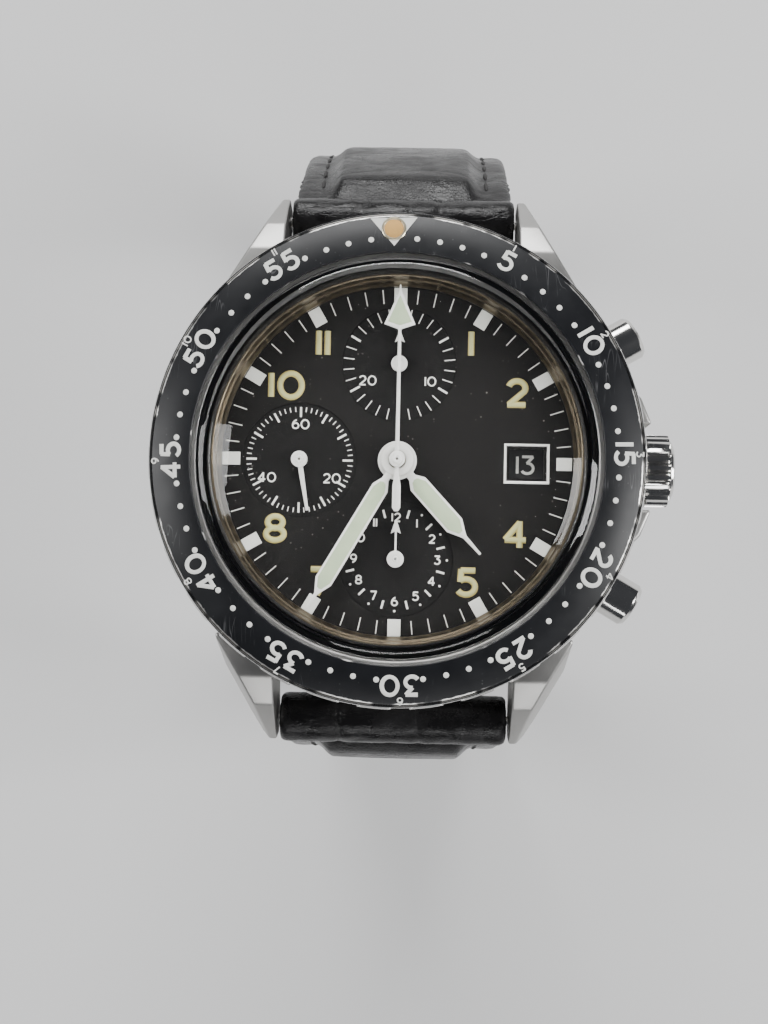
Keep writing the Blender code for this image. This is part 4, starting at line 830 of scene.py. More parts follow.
def build_dial(dial):
    top = DIAL_TOP
    window_x, window_wide, window_high, rim = 10.8, 2.9, 2.5, 0.5
    blank = spun([(1.4, top), (15.35, top), (15.4, top - 0.05), (15.4, 8.3), (1.4, 8.3)], CASE_STEPS)
    plate_mesh = to_mesh("dial_plate", moved(blank, LIFT))
    face = add_piece("dial_plate", plate_mesh, finish_of("matte_dial"), "case", ["dial"])
    low_corner = (window_x - window_wide / 2, -window_high / 2, 7)
    cutters = [box(low_corner, (window_x + window_wide / 2, window_high / 2, 10))]
    for x, y in SUB_DIALS.values():
        recess = spun([(0, 10), (4.82, 10), (4.82, top - 0.12), (0, top - 0.12)], SMALL_STEPS)
        cutters.append(moved(recess, at(x, y)))
    mesh = carved(face, [moved(cutter, LIFT) for cutter in cutters], "EXACT")
    mesh.shade_smooth()
    mesh.set_sharp_from_angle(angle=math.radians(30))

    floors = []
    for x, y in SUB_DIALS.values():
        rings = [(0.55, top - 0.11)]
        steps = 30
        for i in range(steps + 1):
            radius = 0.55 + (4.78 - 0.55) * i / steps
            rings.append((radius, top - 0.1 + (0.012 if i % 2 else 0.0)))
        rings += [(4.78, top - 0.2), (0.55, top - 0.2)]
        floors.append(moved(spun(rings, SMALL_STEPS), LIFT @ at(x, y)))
    add_piece("sub_dial_floors", together(floors), finish_of("sub_dial_black"), "case")

    low = top + 0.004
    sub = top - 0.085
    fine, medium, bold, digits = [], [], [], []
    for minute in range(60):
        if minute % 5:
            fine.append(tick(minute * 6, 13.35, 14.5))
    squares = []
    for hour in range(12):
        if hour == 3:
            square = [(-0.54, -0.64), (0.54, -0.64), (0.54, 0.64), (-0.54, 0.64)]
        else:
            square = [(-0.54, -0.74), (0.54, -0.74), (0.54, 0.74), (-0.54, 0.74)]
        block = softened(plate(square, 0.0, 0.05), 0.02, 30, 1)
        squares.append(moved(block, LIFT @ about_z(-30 * hour) @ at(0, 13.9, top)))
    add_piece("hour_squares", together(squares), finish_of("hour_squares"), "case")

    x, y = SUB_DIALS["minutes"]
    for minute in range(30):
        angle = minute * 12
        (bold if minute % 5 == 0 else medium).append(tick(angle, 3.82, 4.72, (x, y)))
    for text, angle in (("10", 120), ("20", BEZEL_STEPS)):
        s, c = math.sin(math.radians(angle)), math.cos(math.radians(angle))
        digits += number(text, 0.86, 0.13, (x + 3.05 * s, y + 3.05 * c + 0.15))
    x, y = SUB_DIALS["running"]
    for second in range(60):
        if second % 5:
            medium.append(tick(second * 6, 4.05, 4.45, (x, y)))
        else:
            bold.append(tick(second * 6, 3.6, 4.45, (x, y)))
    for text, angle, lift in (("60", 0, -0.15), ("20", 120, 0.05), ("40", 240, 0.05)):
        s, c = math.sin(math.radians(angle)), math.cos(math.radians(angle))
        digits += number(text, 0.86, 0.13, (x + 3.15 * s, y + 3.15 * c + lift))
    x, y = SUB_DIALS["hours"]
    dots = []
    for hour in range(1, 13):
        s, c = math.sin(math.radians(hour * 30)), math.cos(math.radians(hour * 30))
        digits += number(str(hour), 0.78, 0.12, (x + 3.5 * s, y + 3.5 * c))
        bold.append(tick(hour * 30 + 15, 3.55, 4.25, (x, y)))
        if hour != 12:
            dots.append(disc(0.1, sub - 0.01, sub + 0.02, (x + 4.3 * s, y + 4.3 * c), 12))
    marks = [stroked(fine, 0.085, 0.012, low)]
    marks.append(stroked(medium, 0.085, 0.012, sub))
    marks.append(stroked(bold, 0.17, 0.014, sub))
    marks.append(stroked(digits, 0.125, 0.014, sub))
    marks += dots
    add_piece("dial_printing", moved(together(marks), LIFT), finish_of("dial_print"), "case")

    rim = 0.85 * rim
    outer = rectangle(window_x, window_wide / 2 + rim, window_high / 2 + rim)
    inner = rectangle(window_x, window_wide / 2 + rim - 0.14, window_high / 2 + rim - 0.14)
    frame_shape = moved(window_frame(outer, inner, top, top + 0.07), LIFT)
    add_piece("date_frame", frame_shape, finish_of("dial_print"), "case")
    lip = rectangle(window_x, window_wide / 2, window_high / 2)
    bevel = moved(window_frame(inner, lip, top - 0.05, top + 0.04, 0.16), LIFT)
    add_piece("date_bevel", bevel, finish_of("satin_steel_painted_shade"), "case")

    numerals = [
        ("1", 6.0, 10.05), ("2", 9.9, 5.95), ("4", 9.9, -5.9), ("5", 6.0, -10.0), ("7", -6.25, -10.15),
        ("8", -10.1, -5.8), ("10", -9.45, 6.25), ("11", -6.45, 9.9),
    ]
    high, stroke = dial.numeral_height / MM, dial.numeral_stroke / MM
    lines = []
    for text, x, y in numerals:
        lines += number(text, high, stroke, (x, y), 0, 1.06)
    gilt = stroked(lines, stroke + 0.1, 0.05, low)
    add_piece("numeral_edges", moved(gilt, LIFT), finish_of("numeral_gold"), "case")
    lume = stroked(lines, stroke - 0.04, 0.11, low)
    add_piece("numeral_lume", moved(lume, LIFT), finish_of("aged_lume"), "case")

    days = []
    for day in range(1, 32):
        strokes = stroked(number(str(day), 1.65, 0.23), 0.23, 0.012)
        days.append(moved(strokes, about_z((day - dial.date) * 360 / 31) @ at(window_x, 0, 7.61)))
    add_piece("date_numbers", moved(together(days), LIFT), finish_of("dial_print"), "date_group")


def rectangle(x, half_x, half_y):
    """Corners of a rectangle centred on (x, 0)."""
    return [(x - half_x, -half_y), (x + half_x, -half_y), (x + half_x, half_y), (x - half_x, half_y)]


def window_frame(outer, inner, low, high, drop=0.0):
    """A four-sided frame between two outlines; drop lowers its inner edge."""
    shape = bmesh.new()
    loops = []
    for outline, z in ((outer, low), (outer, high), (inner, high - drop), (inner, low - drop)):
        loops.append([shape.verts.new((x * MM, y * MM, z * MM)) for x, y in outline])
    for a, b in zip(loops, loops[1:] + loops[:1]):
        edges_a = [shape.edges.get(p) or shape.edges.new(p) for p in zip(a, a[1:] + a[:1])]
        edges_b = [shape.edges.get(p) or shape.edges.new(p) for p in zip(b, b[1:] + b[:1])]
        bmesh.ops.bridge_loops(shape, edges=edges_a + edges_b)
    bmesh.ops.recalc_face_normals(shape, faces=shape.faces)
    return shape


def hand_outline(hub_r, blade, tail=()):
    """A hub circle with a blade along +Y and a tail along -Y, each a list of (half width, distance)."""
    right_foot = math.asin(min(tail[0][0] / hub_r, 0.9)) if tail else 0.0
    blade_foot = math.asin(min(blade[0][0] / hub_r, 0.9))
    right = arc(hub_r, -90 + math.degrees(right_foot), 90 - math.degrees(blade_foot), 16)
    half = [(w, -d) for w, d in tail[::-1]] + right + [(w, d) for w, d in blade]
    return half + [(-x, y) for x, y in half[::-1] if x > 1e-9]


def mirrored(half):
    """A closed outline from its right half."""
    return half + [(-x, y) for x, y in half[::-1] if x > 0]


def ring_shape(inner, outer, low, high, sides=48):
    return softened(spun([(inner, low), (inner, high), (outer, high), (outer, low)], sides), 0.04, 40, 2)


def add_hand(name, node, body, outline, lume, low, hubs, turn, centre=(0.0, 0.0)):
    """A lacquered hand, its luminous filling and its collars: (inner radius, outer radius, low, high)."""
    where = LIFT @ at(*centre) @ about_z(-turn)
    blade = softened(plate(outline, low, low + HAND_THICK), 0.035, 40, 2)
    whole = moved(together([blade] + [ring_shape(*hub) for hub in hubs]), where)
    add_piece(name, whole, finish_of("hand_white"), body, [node])
    if lume:
        fill = softened(plate(lume, low + 0.12, low + HAND_THICK + 0.025), 0.03, 30, 2)
        add_piece(name + "_lume", moved(fill, where), finish_of("hand_lume"), body)


def build_hands():
    hour = hand_outline(1.25, [(0.35, 1.9), (0.82, 2.6), (0.84, 7.2), (0.3, 8.2), (0.17, 8.5), (0.1, 10.4)])
    hour_lume = [(0.0, 2.15), (0.3, 2.25), (0.64, 2.85), (0.66, 7.1), (0.2, 7.95), (0.0, 8.0)]
    add_hand("hour_hand_white", "hour_hand", "hour_hand_group", hour, mirrored(hour_lume), 9.5,
             [(1.2, 1.62, 9.45, 9.72)], 137.5)
    blade = [(0.3, 1.9), (0.72, 2.7), (0.74, 11.7), (0.28, 12.6), (0.14, 12.9), (0.1, 14.2)]
    minute = hand_outline(1.0, blade)
    minute_lume = [(0.0, 2.15), (0.26, 2.25), (0.55, 2.9), (0.57, 11.6), (0.2, 12.35), (0.0, 12.4)]
    add_hand("minute_hand_white", "minute_hand", "minute_hand_group", minute, mirrored(minute_lume), 10.1,
             [(0.8, 1.32, 10.05, 10.35)], 210.0)
    seconds = hand_outline(
        0.6, [(0.16, 1.4), (0.13, 10.75), (1.28, 11.15), (0.12, 13.8), (0.04, 14.4)],
        [(0.16, 1.2), (0.34, 2.2), (0.34, 4.0), (0.16, 4.3)],
    )
    arrow = [(0.0, 11.05), (0.98, 11.35), (0.06, 13.4), (0.0, 13.5)]
    add_hand("chronograph_seconds_white", "chronograph_seconds_hand", "chronograph_group", seconds,
             mirrored(arrow), 10.7, [(0.1, 0.66, 10.68, 11.0), (0.1, 0.4, 10.9, 11.12)], 0.0)
    low = 9.05
    running = hand_outline(0.55, [(0.2, 1.2), (0.12, 4.35)])
    add_hand("running_seconds_white", "running_seconds_hand", "running_seconds_group", running, None, low,
             [(0.1, 0.68, low, low + 0.32), (0.1, 0.3, low + 0.2, low + 0.4)], 170.0, SUB_DIALS["running"])
    counter = hand_outline(0.55, [(0.09, 1.2), (0.09, 1.95), (0.42, 1.8), (0.05, 2.75)])
    add_hand("minute_counter_white", "minute_counter_hand", "minute_counter_group", counter, None, low,
             [(0.1, 0.68, low, low + 0.3), (0.1, 0.25, low + 0.2, low + 0.38)], 0.0, SUB_DIALS["minutes"])
    counter = hand_outline(0.55, [(0.08, 1.2), (0.08, 2.3), (0.42, 2.12), (0.05, 3.3)])
    add_hand("hour_counter_white", "hour_counter_hand", "hour_counter_group", counter, None, low,
             [(0.1, 0.7, low, low + 0.3), (0.1, 0.25, low + 0.2, low + 0.38)], 0.0, SUB_DIALS["hours"])


def along_x(turn=0.0, height=5.0):
    """Turns a shape made round Z to lie along +X, and then round the case by degrees."""
    return LIFT @ about_z(turn) @ at(0, 0, height) @ Matrix.Rotation(math.radians(90), 4, "Y")


def build_crown():
    flutes, points = 24, []
    for i in range(flutes * 10):
        a = 2 * math.pi * i / (flutes * 10)
        wave = 0.5 + 0.5 * math.cos(flutes * a)
        radius = 2.83 + 0.27 * min(1.0, 1.7 * wave)
        points.append((radius * math.cos(a), radius * math.sin(a)))
    barrel = softened(plate(points, 20.55, 23.1), 0.1, 60, 2)
    foot = spun([(0, 20.2), (2.6, 20.2), (2.85, 20.35), (2.85, 20.7), (0, 20.7)], SMALL_STEPS)
    profile = [(0, 23.6), (1.6, 23.56), (2.3, 23.46), (2.62, 23.3), (2.78, 23.05), (2.78, 22.9), (0, 22.9)]
    cap = spun(profile, SMALL_STEPS)
    whole = moved(together([barrel, foot, cap]), along_x())
    add_piece("crown_fluted", whole, finish_of("polished_steel"), "crown_and_stem", ["crown"])
    for name, turn, body in (("pusher_start", 30, "start_button"), ("pusher_reset", -30, "reset_button")):
        cap = [
            (0, 23.5), (1.3, 23.49), (1.62, 23.4), (1.78, 23.22), (1.84, 23.15), (1.9, 23.05), (1.9, 20.85),
            (1.85, 20.8), (1.55, 20.8), (1.55, 22.4), (0.6, 22.4), (0.6, 15.3), (0, 15.3),
        ]
        whole = moved(spun(cap, SMALL_STEPS), along_x(turn))
        add_piece(name + "_cap", whole, finish_of("polished_steel"), body, [name])


def build_button_springs():
    """The two return springs, copied from the frame's coils and fixed to the case."""
    for name, turn, joint in (
        ("pusher_start_spring", 30, "start_press"), ("pusher_reset_spring", -30, "reset_press"),
    ):
        coil = bmesh.new()
        coil.from_mesh(frame["nodes"][name].data)
        bmesh.ops.remove_doubles(coil, verts=coil.verts, dist=1e-7)
        piece = add_piece(name + "_coil", coil, finish_of("works_steel"), "case", [name], 60)
        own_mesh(piece)


# ---------------------------------------------------------------- strap


def smooth_path(points, per_span):
    """Points on a Catmull-Rom curve through the given (y, z) points."""
    ends = [tuple(2 * a - b for a, b in zip(points[0], points[1]))]
    tails = [tuple(2 * a - b for a, b in zip(points[-1], points[-2]))]
    p = [Vector(q) for q in ends + points + tails]
    path = []
    for i in range(1, len(p) - 2):
        for k in range(per_span):
            t = k / per_span
            path.append(0.5 * (
                2 * p[i] + (p[i + 1] - p[i - 1]) * t
                + (2 * p[i - 1] - 5 * p[i] + 4 * p[i + 1] - p[i + 2]) * t**2
                + (3 * p[i] - p[i - 1] - 3 * p[i + 1] + p[i + 2]) * t**3
            ))
    return path + [p[-2]]


BAR_Y, BAR_Z = 21.8, 50.6  # spring bars
BUCKLE_Y = -7.0
INNER_Z = 5.2  # middle of the inner layer
TAIL_Z = 2.4  # middle of the outer layer
ROLL_R, ROLL_HALF = 2.1, 9.7
END_ROLL_R, END_ROLL_HALF = 1.6, 8.95
TONGUE_HALF = 1.2
HOLE_R, HOLE_PITCH = 0.75, 6.0


def dropped(y, share, low):
    """A point of the strap's way down, as a share of the drop from the bar to the level low."""
    return y, BAR_Z - (BAR_Z - low) * share


def short_way(per_span=8):
    spots = (
        (21.8, 0), (25.6, 0.092), (29.2, 0.215), (32.2, 0.366), (33.5, 0.531), (32.4, 0.7), (28.5, 0.862),
        (22.2, 0.967),
    )
    flat = [(y, INNER_Z) for y in (15, 8, 0.5, -7)]
    return smooth_path([dropped(y, share, INNER_Z) for y, share in spots] + flat, per_span)


def normals(path):
    """Unit vectors square to the path, to the left of its way."""
    sides = []
    for i in range(len(path)):
        way = (path[min(i + 1, len(path) - 1)] - path[max(i - 1, 0)]).normalized()
        sides.append(Vector((-way.y, way.x)))
    return sides


def long_way(per_span=8):
    spots = (
        (-21.8, 0), (-23.6, 0.11), (-24.6, 0.24), (-25, 0.41), (-25.3, 0.57), (-24.2, 0.72), (-21.4, 0.87),
    )
    flat = [(-17, 3.4), (-12, 2.95), (-7, TAIL_Z), (-3, TAIL_Z)]
    own = smooth_path([dropped(y, share, TAIL_Z) for y, share in spots] + flat, per_span)
    inner = [p for p in short_way(per_span) if p.x > 0 and p.y < 14.7][::-1]
    return own + [p - side * 2.8 for p, side in zip(inner, normals(inner))]


def lengths(path):
    total, marks = 0.0, [0.0]
    for a, b in zip(path, path[1:]):
        total += (b - a).length
        marks.append(total)
    return marks


def eased(value, low, high):
    t = min(max((value - low) / (high - low), 0.0), 1.0)
    return t * t * (3 - 2 * t)


def band_half(mark, total, tip):
    half = 9.75 - 0.75 * min(mark / (0.6 * total), 1.0)
    if tip and total - mark < 9.0:
        half *= 0.3 + 0.7 * math.sin(math.pi / 2 * (total - mark) / 9.0)
    return half


def band_offset(x, half, mark, strap, upper):
    """How far the skin lies from the strap's middle; upper is the face away from the wrist."""
    thick = (1.9 + 1.5 * max(0.0, 1 - mark / 42.0)) / 2
    edge = min(strap.edge_height / MM, thick)
    bulge = 1 - eased(abs(x), strap.pad_half / MM - 0.9, strap.pad_half / MM + 0.5)
    bulge *= eased(mark, 2.2, 5.5)
    rounded = 1 - 0.45 * eased(abs(x), half - 0.55, half)
    if upper:
        groove = 0.16 * math.exp(-(((abs(x) - strap.pad_half / MM - 0.9) / 0.3) ** 2)) * eased(mark, 4, 6)
        crown = 0.22 * (1 - (x / half) ** 2) * (thick - 0.9)
        return (edge + (thick * 1.04 - edge) * bulge + crown * bulge) * rounded - groove
    return -thick * 0.92 * rounded


def strap_shape(strap, path, tip, outward):
    """A band wrapped from a grid along the path; outward is 1 where the outside is left of its way."""
    marks, sides = lengths(path), normals(path)
    across, under = 44, 20
    around = across + under
    shape = bmesh.new()
    bmesh.ops.create_grid(shape, x_segments=around, y_segments=len(path) - 1, size=0.5)
    for vert in shape.verts:
        k = round((vert.co.x + 0.5) * around) % around
        i = round((vert.co.y + 0.5) * (len(path) - 1))
        half = band_half(marks[i], marks[-1], tip)
        if k <= across:
            x, upper = half * (1 - 2 * k / across), True
        else:
            x, upper = half * (2 * (k - across) / under - 1), False
        off = band_offset(x, half, marks[i], strap, upper) * outward
        spot = path[i] + sides[i] * off
        vert.co = (x * MM, spot.x * MM, spot.y * MM)
    bmesh.ops.remove_doubles(shape, verts=shape.verts, dist=1e-6)
    ends = [e for e in shape.edges if len(e.link_faces) == 1]
    bmesh.ops.holes_fill(shape, edges=ends)
    bmesh.ops.triangulate(shape, faces=[f for f in shape.faces if len(f.verts) > 4])
    bmesh.ops.recalc_face_normals(shape, faces=shape.faces)
    return shape


def roll_shape(y, z, radius, half, seed, gap=0.0):
    """The end of the band rolled round a bar, with a few pinched creases; gap leaves out the middle."""
    shapes = []
    spans = [(-half, -gap), (gap, half)] if gap else [(-half, half)]
    for start, end in spans:
        profile = [(0, end), (radius - 0.35, end), (radius - 0.1, end - 0.12), (radius, end - 0.4)]
        profile += [(radius, end - 0.4 - (end - start - 0.8) * i / 60) for i in range(1, 60)]
        profile += [(radius, start + 0.4), (radius - 0.1, start + 0.12), (radius - 0.35, start), (0, start)]
        shapes.append(spun(profile, 64))
    shape = together(shapes)
    for vert in shape.verts:
        along = vert.co.z / MM
        pinch = sum(0.22 * math.exp(-(((along - c) / 0.16) ** 2)) for c in seed)
        wave = 0.08 * noise.noise(Vector((along * 0.5, math.atan2(vert.co.y, vert.co.x) * 2, radius)))
        scale = 1 + (wave - pinch) / radius
        vert.co.x *= scale
        vert.co.y *= scale
    return moved(shape, at(0, y, z) @ Matrix.Rotation(math.radians(90), 4, "Y"))


def carved(obj, cutters, solver):
    """Takes the cutters out of an object's mesh."""
    cutter = bpy.data.objects.new("cutter", to_mesh("cutter", together(cutters)))
    bpy.context.scene.collection.objects.link(cutter)
    boolean = obj.modifiers.new("openings", "BOOLEAN")
    boolean.object, boolean.solver = cutter, solver
    bpy.context.view_layer.update()
    mesh = bpy.data.meshes.new_from_object(obj.evaluated_get(bpy.context.evaluated_depsgraph_get()))
    obj.modifiers.clear()
    obj.data = mesh
    bpy.data.objects.remove(cutter)
    return mesh


def skin(name, shapes, holes, voxel):
    """One leather skin over several shapes, smoothed, with fine folds across it."""
    obj = bpy.data.objects.new(name, to_mesh(name, together(shapes)))
    bpy.context.scene.collection.objects.link(obj)
    remesh = obj.modifiers.new("skin", "REMESH")
    remesh.mode, remesh.voxel_size = "VOXEL", voxel
    smooth = obj.modifiers.new("smooth", "SMOOTH")
    smooth.iterations, smooth.factor = 3, 0.5
    mesh = carved(obj, holes, "MANIFOLD")
    bpy.data.objects.remove(obj)
    outwards = [vert.normal.copy() for vert in mesh.vertices]
    for vert, out in zip(mesh.vertices, outwards):
        spot = vert.co / MM
        fold = noise.noise(Vector((spot.x * 0.16, spot.y * 0.4, spot.z * 0.4)))
        small = noise.noise(spot * 1.3)
        vert.co += out * ((0.05 - 0.3 * max(0.0, 0.12 - abs(fold))) + 0.03 * small) * MM
    mesh.shade_smooth()
    return mesh


def stitch_row(strap, path, side_x, outward, first, last):
    """Thread along one edge: short stitches that dip into the leather at their ends."""
    marks, sides = lengths(path), normals(path)
    pitch = strap.stitch_pitch / MM
    shapes = []
    count = int((last - first) / pitch)
    for n in range(count):
        mark = first + n * pitch
        i = min(range(len(marks) - 1), key=lambda k: abs(marks[k] - mark))
        way = (path[i + 1] - path[i]).normalized()
        half = band_half(mark, marks[-1], False)
        off = band_offset(side_x, half, mark, strap, True) + 0.07
        spot = path[i] + way * (mark - marks[i]) + sides[i] * off * outward
        thread = bmesh.new()
        bmesh.ops.create_uvsphere(thread, u_segments=8, v_segments=6, radius=1)
        axes = Matrix((
            (1, 0, 0, 0), (0, way.x, sides[i].x, 0), (0, way.y, sides[i].y, 0), (0, 0, 0, 1),
        ))
        thread_size = Matrix.Diagonal((0.21 * MM, 1.15 * MM, 0.2 * MM, 1))
        shapes.append(moved(thread, at(side_x, spot.x, spot.y) @ axes @ thread_size))
    return shapes


def tongue_box(low_y, high_y, low_z, high_z):
    return box((-TONGUE_HALF, low_y, low_z), (TONGUE_HALF, high_y, high_z))


def build_strap(strap):
    short = short_way()
    rolls = [
        roll_shape(BAR_Y, BAR_Z, ROLL_R, ROLL_HALF, (-3.8, 0.6, 3.1, 3.5)),
        roll_shape(BUCKLE_Y, INNER_Z, END_ROLL_R, END_ROLL_HALF, (-2.0,), TONGUE_HALF),
    ]
    slot = [tongue_box(-11, -4.8, 0, INNER_Z + 4)]
    mesh = skin("strap_short", [strap_shape(strap, short, False, 1), *rolls], slot, strap.voxel)
    leather = finish_of("black_leather")
    piece = add_piece("strap_short_padded", mesh, leather, "case", ["strap_short_half"])
    long = long_way()
    marks, sides = lengths(long), normals(long)
    rolls = [roll_shape(-BAR_Y, BAR_Z, ROLL_R, ROLL_HALF, (-4.6, 2.2))]
    holes = [tongue_box(-14.3, -9.7, 0, 6.4)]
    used = marks[min(range(len(long)), key=lambda i: (long[i] - Vector((BUCKLE_Y - 5, TAIL_Z))).length)]
    for hop in (-3, -2, 2, 3, 4):
        i = min(range(len(long)), key=lambda k: abs(marks[k] - used - hop * HOLE_PITCH))
        turn = math.atan2(sides[i].x, sides[i].y)
        rod = spun([(0, 2), (HOLE_R, 2), (HOLE_R, -2), (0, -2)], 24)
        holes.append(moved(rod, at(0, long[i].x, long[i].y) @ Matrix.Rotation(-turn, 4, "X")))
    mesh = skin("strap_long", [strap_shape(strap, long, True, -1), *rolls], holes, strap.voxel)
    piece = add_piece("strap_long_padded", mesh, leather, "case", ["strap_long_half"])
    x = strap.pad_half / MM + 0.95
    rows = stitch_row(strap, short, x, 1, 6.5, 78) + stitch_row(strap, short, -x, 1, 6.5, 78)
    add_piece("short_half_stitches", together(rows), finish_of("strap_thread"), "case")
    rows = [thread for row in (x, -x) for thread in stitch_row(strap, long, row, -1, 6.5, marks[-1] - 10)]
    add_piece("long_half_stitches", together(rows), finish_of("strap_thread"), "case")


def keeper_shape(y):
    """A leather loop, flat underneath, with rounded corners."""
    half_x, half_y, top, wall = 10.5, 2.25, 7.6, 1.0
    shape = box((-half_x, y - half_y, 0), (half_x, y + half_y, top))
    ends = [f for f in shape.faces if abs(f.normal.y) > 0.9]
    inner = bmesh.ops.inset_region(shape, faces=ends, thickness=wall * MM, use_even_offset=True)["faces"]
    ends = [f for f in shape.faces if abs(f.normal.y) > 0.9 and f not in inner]
    edges = [e for f in ends for e in f.edges]
    bmesh.ops.delete(shape, geom=ends, context="FACES_ONLY")
    bmesh.ops.bridge_loops(shape, edges=edges)
    bmesh.ops.recalc_face_normals(shape, faces=shape.faces)
    softened(shape, 0.32, 40, 4)
    return shape


def build_keepers_and_buckle():
    for node, name, y, body in (
        ("fixed_keeper", "keeper_fixed", 0.0, "case"),
        ("loose_keeper", "keeper_loose", 8.5, "loose_keeper_group"),
    ):
        add_piece(name, keeper_shape(y), finish_of("black_leather"), body, [node])
    refined("buckle_frame", "buckle_bow", finish_of("polished_steel"), "case", 0.22, 3)
    refined("buckle_tongue", "buckle_pin", finish_of("polished_steel"), "case", 0.12, 2)


FINISH_OF_SLOT = {
    "case_steel": "polished_steel", "works_steel": "works_steel", "bezel_black": "black_insert",
    "lume": "pip_lume", "acrylic": "domed_acrylic", "gilt_ring": "ring_gilt_painted_shade", "rubber": "black_rubber",
    "dial_black": "matte_dial", "hand_white": "hand_white", "works_brass": "gilt_works",
    "blued_steel": "blued_steel", "strap_leather": "black_leather",
}


def finish_nodes():
    """Every CAD node takes the finish of its slot."""
    for part in frame["record"]["subparts"]:
        name = "date_black" if part["node"] == "date_ring" else FINISH_OF_SLOT[part["material_slot"]]
        for slot in frame["nodes"][part["node"]].material_slots:
            slot.material = finish_of(name)


# ---------------------------------------------------------------- studio


def soft_lamp(name, place, aim, size, power, colour=(1, 1, 1)):
    data = bpy.data.lights.new(name, "AREA")
    data.shape = "RECTANGLE"
    data.size, data.size_y = size
    data.energy = power
    data.color = colour
    lamp = bpy.data.objects.new(name, data)
    lamp.location = place
    lamp.rotation_euler = (Vector(aim) - Vector(place)).to_track_quat("-Z", "Y").to_euler()
    bpy.context.scene.collection.objects.link(lamp)
    return lamp


def build_studio(studio):
    camera = bpy.data.cameras.new("camera")
    camera.lens = studio.lens
    camera.sensor_width = 36
    camera.clip_start = 0.005
    holder = bpy.data.objects.new("camera", camera)
    holder.location = studio.camera_place
    holder.rotation_euler = studio.camera_turn
    bpy.context.scene.collection.objects.link(holder)
    bpy.context.scene.camera = holder

    shape = bmesh.new()
    bmesh.ops.create_grid(shape, x_segments=2, y_segments=2, size=1.5)
    floor = bpy.data.objects.new("floor", to_mesh("floor", shape))
    floor.data.materials.append(floor_material())
    bpy.context.scene.collection.objects.link(floor)

    world = bpy.data.worlds.new("studio")
    bpy.context.scene.world = world
    world.use_nodes = True
    back = world.node_tree.nodes["Background"]
    back.inputs["Color"].default_value = (0.86, 0.9, 1.0, 1)
    back.inputs["Strength"].default_value = studio.sky
    middle = (0, 0, 0.06)
    soft_lamp("key", (-0.05, 0.57, 0.36), middle, (0.5, 0.22), studio.key_power)
    soft_lamp("left_fill", (-0.45, 0.02, 0.32), middle, (0.2, 0.35), studio.key_power * 0.35)
    soft_lamp("right_fill", (0.45, -0.05, 0.3), middle, (0.2, 0.35), studio.key_power * 0.6)
    soft_lamp("front_fill", (0.05, -0.5, 0.35), middle, (0.5, 0.12), studio.key_power * 0.25)


def floor_material():
    material, tree, shader = new_material("pale_floor")
    place = put(tree, "ShaderNodeTexCoord").outputs["Object"]
    wave = cloud(tree, place, 9.0)
    feed(tree, shader, Base_Color=blended(tree, wave, (0.66, 0.66, 0.66, 1), (0.7, 0.7, 0.7, 1)))
    shader.inputs["Roughness"].default_value = 0.7
    return material


# ---------------------------------------------------------------- operators and panel


class CHRONO_OT_finishes(bpy.types.Operator):
    """Make the finishes and give the frame's nodes theirs"""

    bl_idname = "chrono.finishes"
    bl_label = "Finishes"

    def execute(self, context):
        make_finishes(context.scene.chrono_looks)
        finish_nodes()
        return {"FINISHED"}


class CHRONO_OT_case(bpy.types.Operator):
    """Build the case middle, its lugs and the case back"""

    bl_idname = "chrono.case"
    bl_label = "Case"

    def execute(self, context):
        build_case(context.scene.chrono_case)
        return {"FINISHED"}


class CHRONO_OT_bezel(bpy.types.Operator):
    """Build the turning bezel, its insert and its markings"""

    bl_idname = "chrono.bezel"
    bl_label = "Bezel"

    def execute(self, context):
        build_bezel(context.scene.chrono_case)
        return {"FINISHED"}


class CHRONO_OT_crystal(bpy.types.Operator):
    """Build the domed glass and its ring"""

    bl_idname = "chrono.crystal"
    bl_label = "Glass"

    def execute(self, context):
        build_crystal()
        return {"FINISHED"}


class CHRONO_OT_dial(bpy.types.Operator):
    """Build the dial, its printing, numerals and date"""

    bl_idname = "chrono.dial"
    bl_label = "Dial"

    def execute(self, context):
        build_dial(context.scene.chrono_dial)
        return {"FINISHED"}


class CHRONO_OT_hands(bpy.types.Operator):
    """Build the six hands"""

    bl_idname = "chrono.hands"
    bl_label = "Hands"

    def execute(self, context):
        build_hands()
        return {"FINISHED"}


class CHRONO_OT_crown(bpy.types.Operator):
    """Build the crown and the two buttons"""

    bl_idname = "chrono.crown"
    bl_label = "Crown and Buttons"

    def execute(self, context):
        build_crown()
        build_button_springs()
        return {"FINISHED"}


class CHRONO_OT_strap(bpy.types.Operator):
    """Build both padded strap halves and their stitches"""

    bl_idname = "chrono.strap"
    bl_label = "Strap"

    def execute(self, context):
        build_strap(context.scene.chrono_strap)
        return {"FINISHED"}


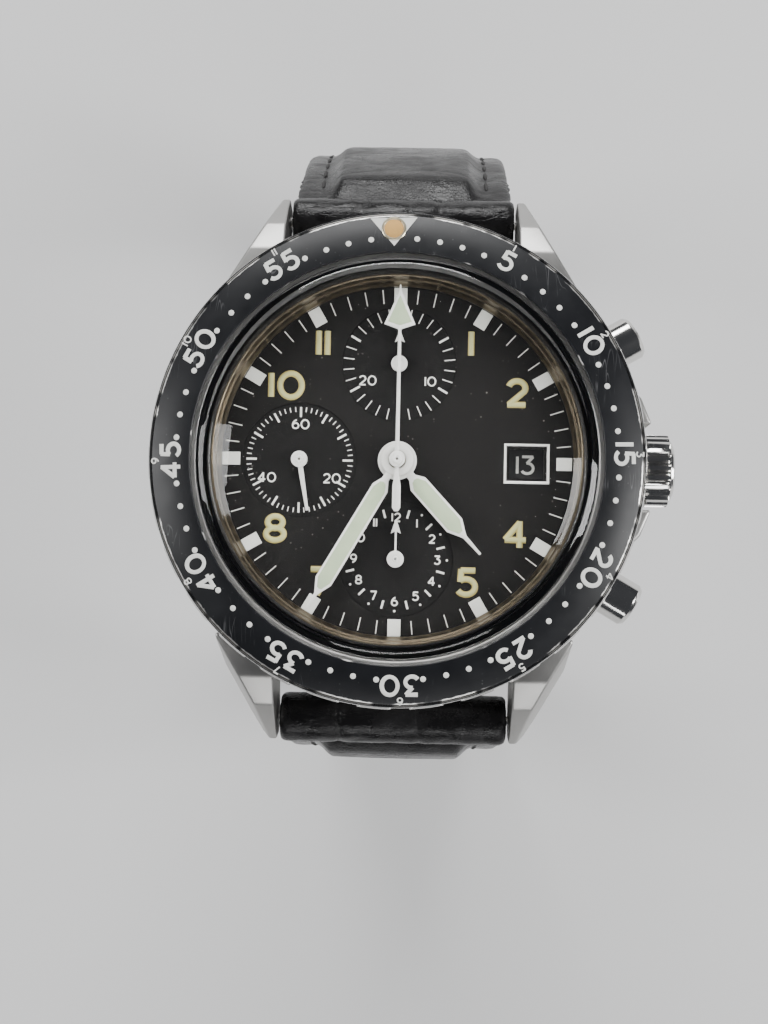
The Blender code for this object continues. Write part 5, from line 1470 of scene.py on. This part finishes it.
class CHRONO_OT_keepers(bpy.types.Operator):
    """Build the keepers and the buckle"""

    bl_idname = "chrono.keepers"
    bl_label = "Keepers and Buckle"

    def execute(self, context):
        build_keepers_and_buckle()
        return {"FINISHED"}


class CHRONO_OT_studio(bpy.types.Operator):
    """Set up the floor, the lamps and the camera"""

    bl_idname = "chrono.studio"
    bl_label = "Studio"

    def execute(self, context):
        build_studio(context.scene.chrono_studio)
        return {"FINISHED"}


STEPS = (
    CHRONO_OT_finishes, CHRONO_OT_studio, CHRONO_OT_case, CHRONO_OT_bezel, CHRONO_OT_crystal,
    CHRONO_OT_dial, CHRONO_OT_hands, CHRONO_OT_crown, CHRONO_OT_strap, CHRONO_OT_keepers,
)


class CHRONO_PT_panel(bpy.types.Panel):
    """The steps that build the watch, in order"""

    bl_idname = "CHRONO_PT_panel"
    bl_label = "Chronograph"
    bl_space_type = "VIEW_3D"
    bl_region_type = "UI"
    bl_category = "Chronograph"

    def draw(self, context):
        for name in SETTINGS:
            group = getattr(context.scene, name)
            for prop in group.bl_rna.properties:
                if prop.identifier not in {"rna_type", "name"}:
                    self.layout.prop(group, prop.identifier)
        for operator in STEPS:
            self.layout.operator(operator.bl_idname)


def register():
    for cls in (*SETTINGS.values(), *STEPS, CHRONO_PT_panel):
        bpy.utils.register_class(cls)
    for name, cls in SETTINGS.items():
        setattr(bpy.types.Scene, name, bpy.props.PointerProperty(type=cls))


def unregister():
    for name in SETTINGS:
        delattr(bpy.types.Scene, name)
    for cls in (CHRONO_PT_panel, *STEPS[::-1], *list(SETTINGS.values())[::-1]):
        bpy.utils.unregister_class(cls)


def main():
    register()
    bpy.ops.chrono.finishes()
    bpy.ops.chrono.studio()
    bpy.ops.chrono.case()
    bpy.ops.chrono.bezel()
    bpy.ops.chrono.crystal()
    bpy.ops.chrono.dial()
    bpy.ops.chrono.hands()
    bpy.ops.chrono.crown()
    bpy.ops.chrono.strap()
    bpy.ops.chrono.keepers()


if __name__ == "__main__":
    main()
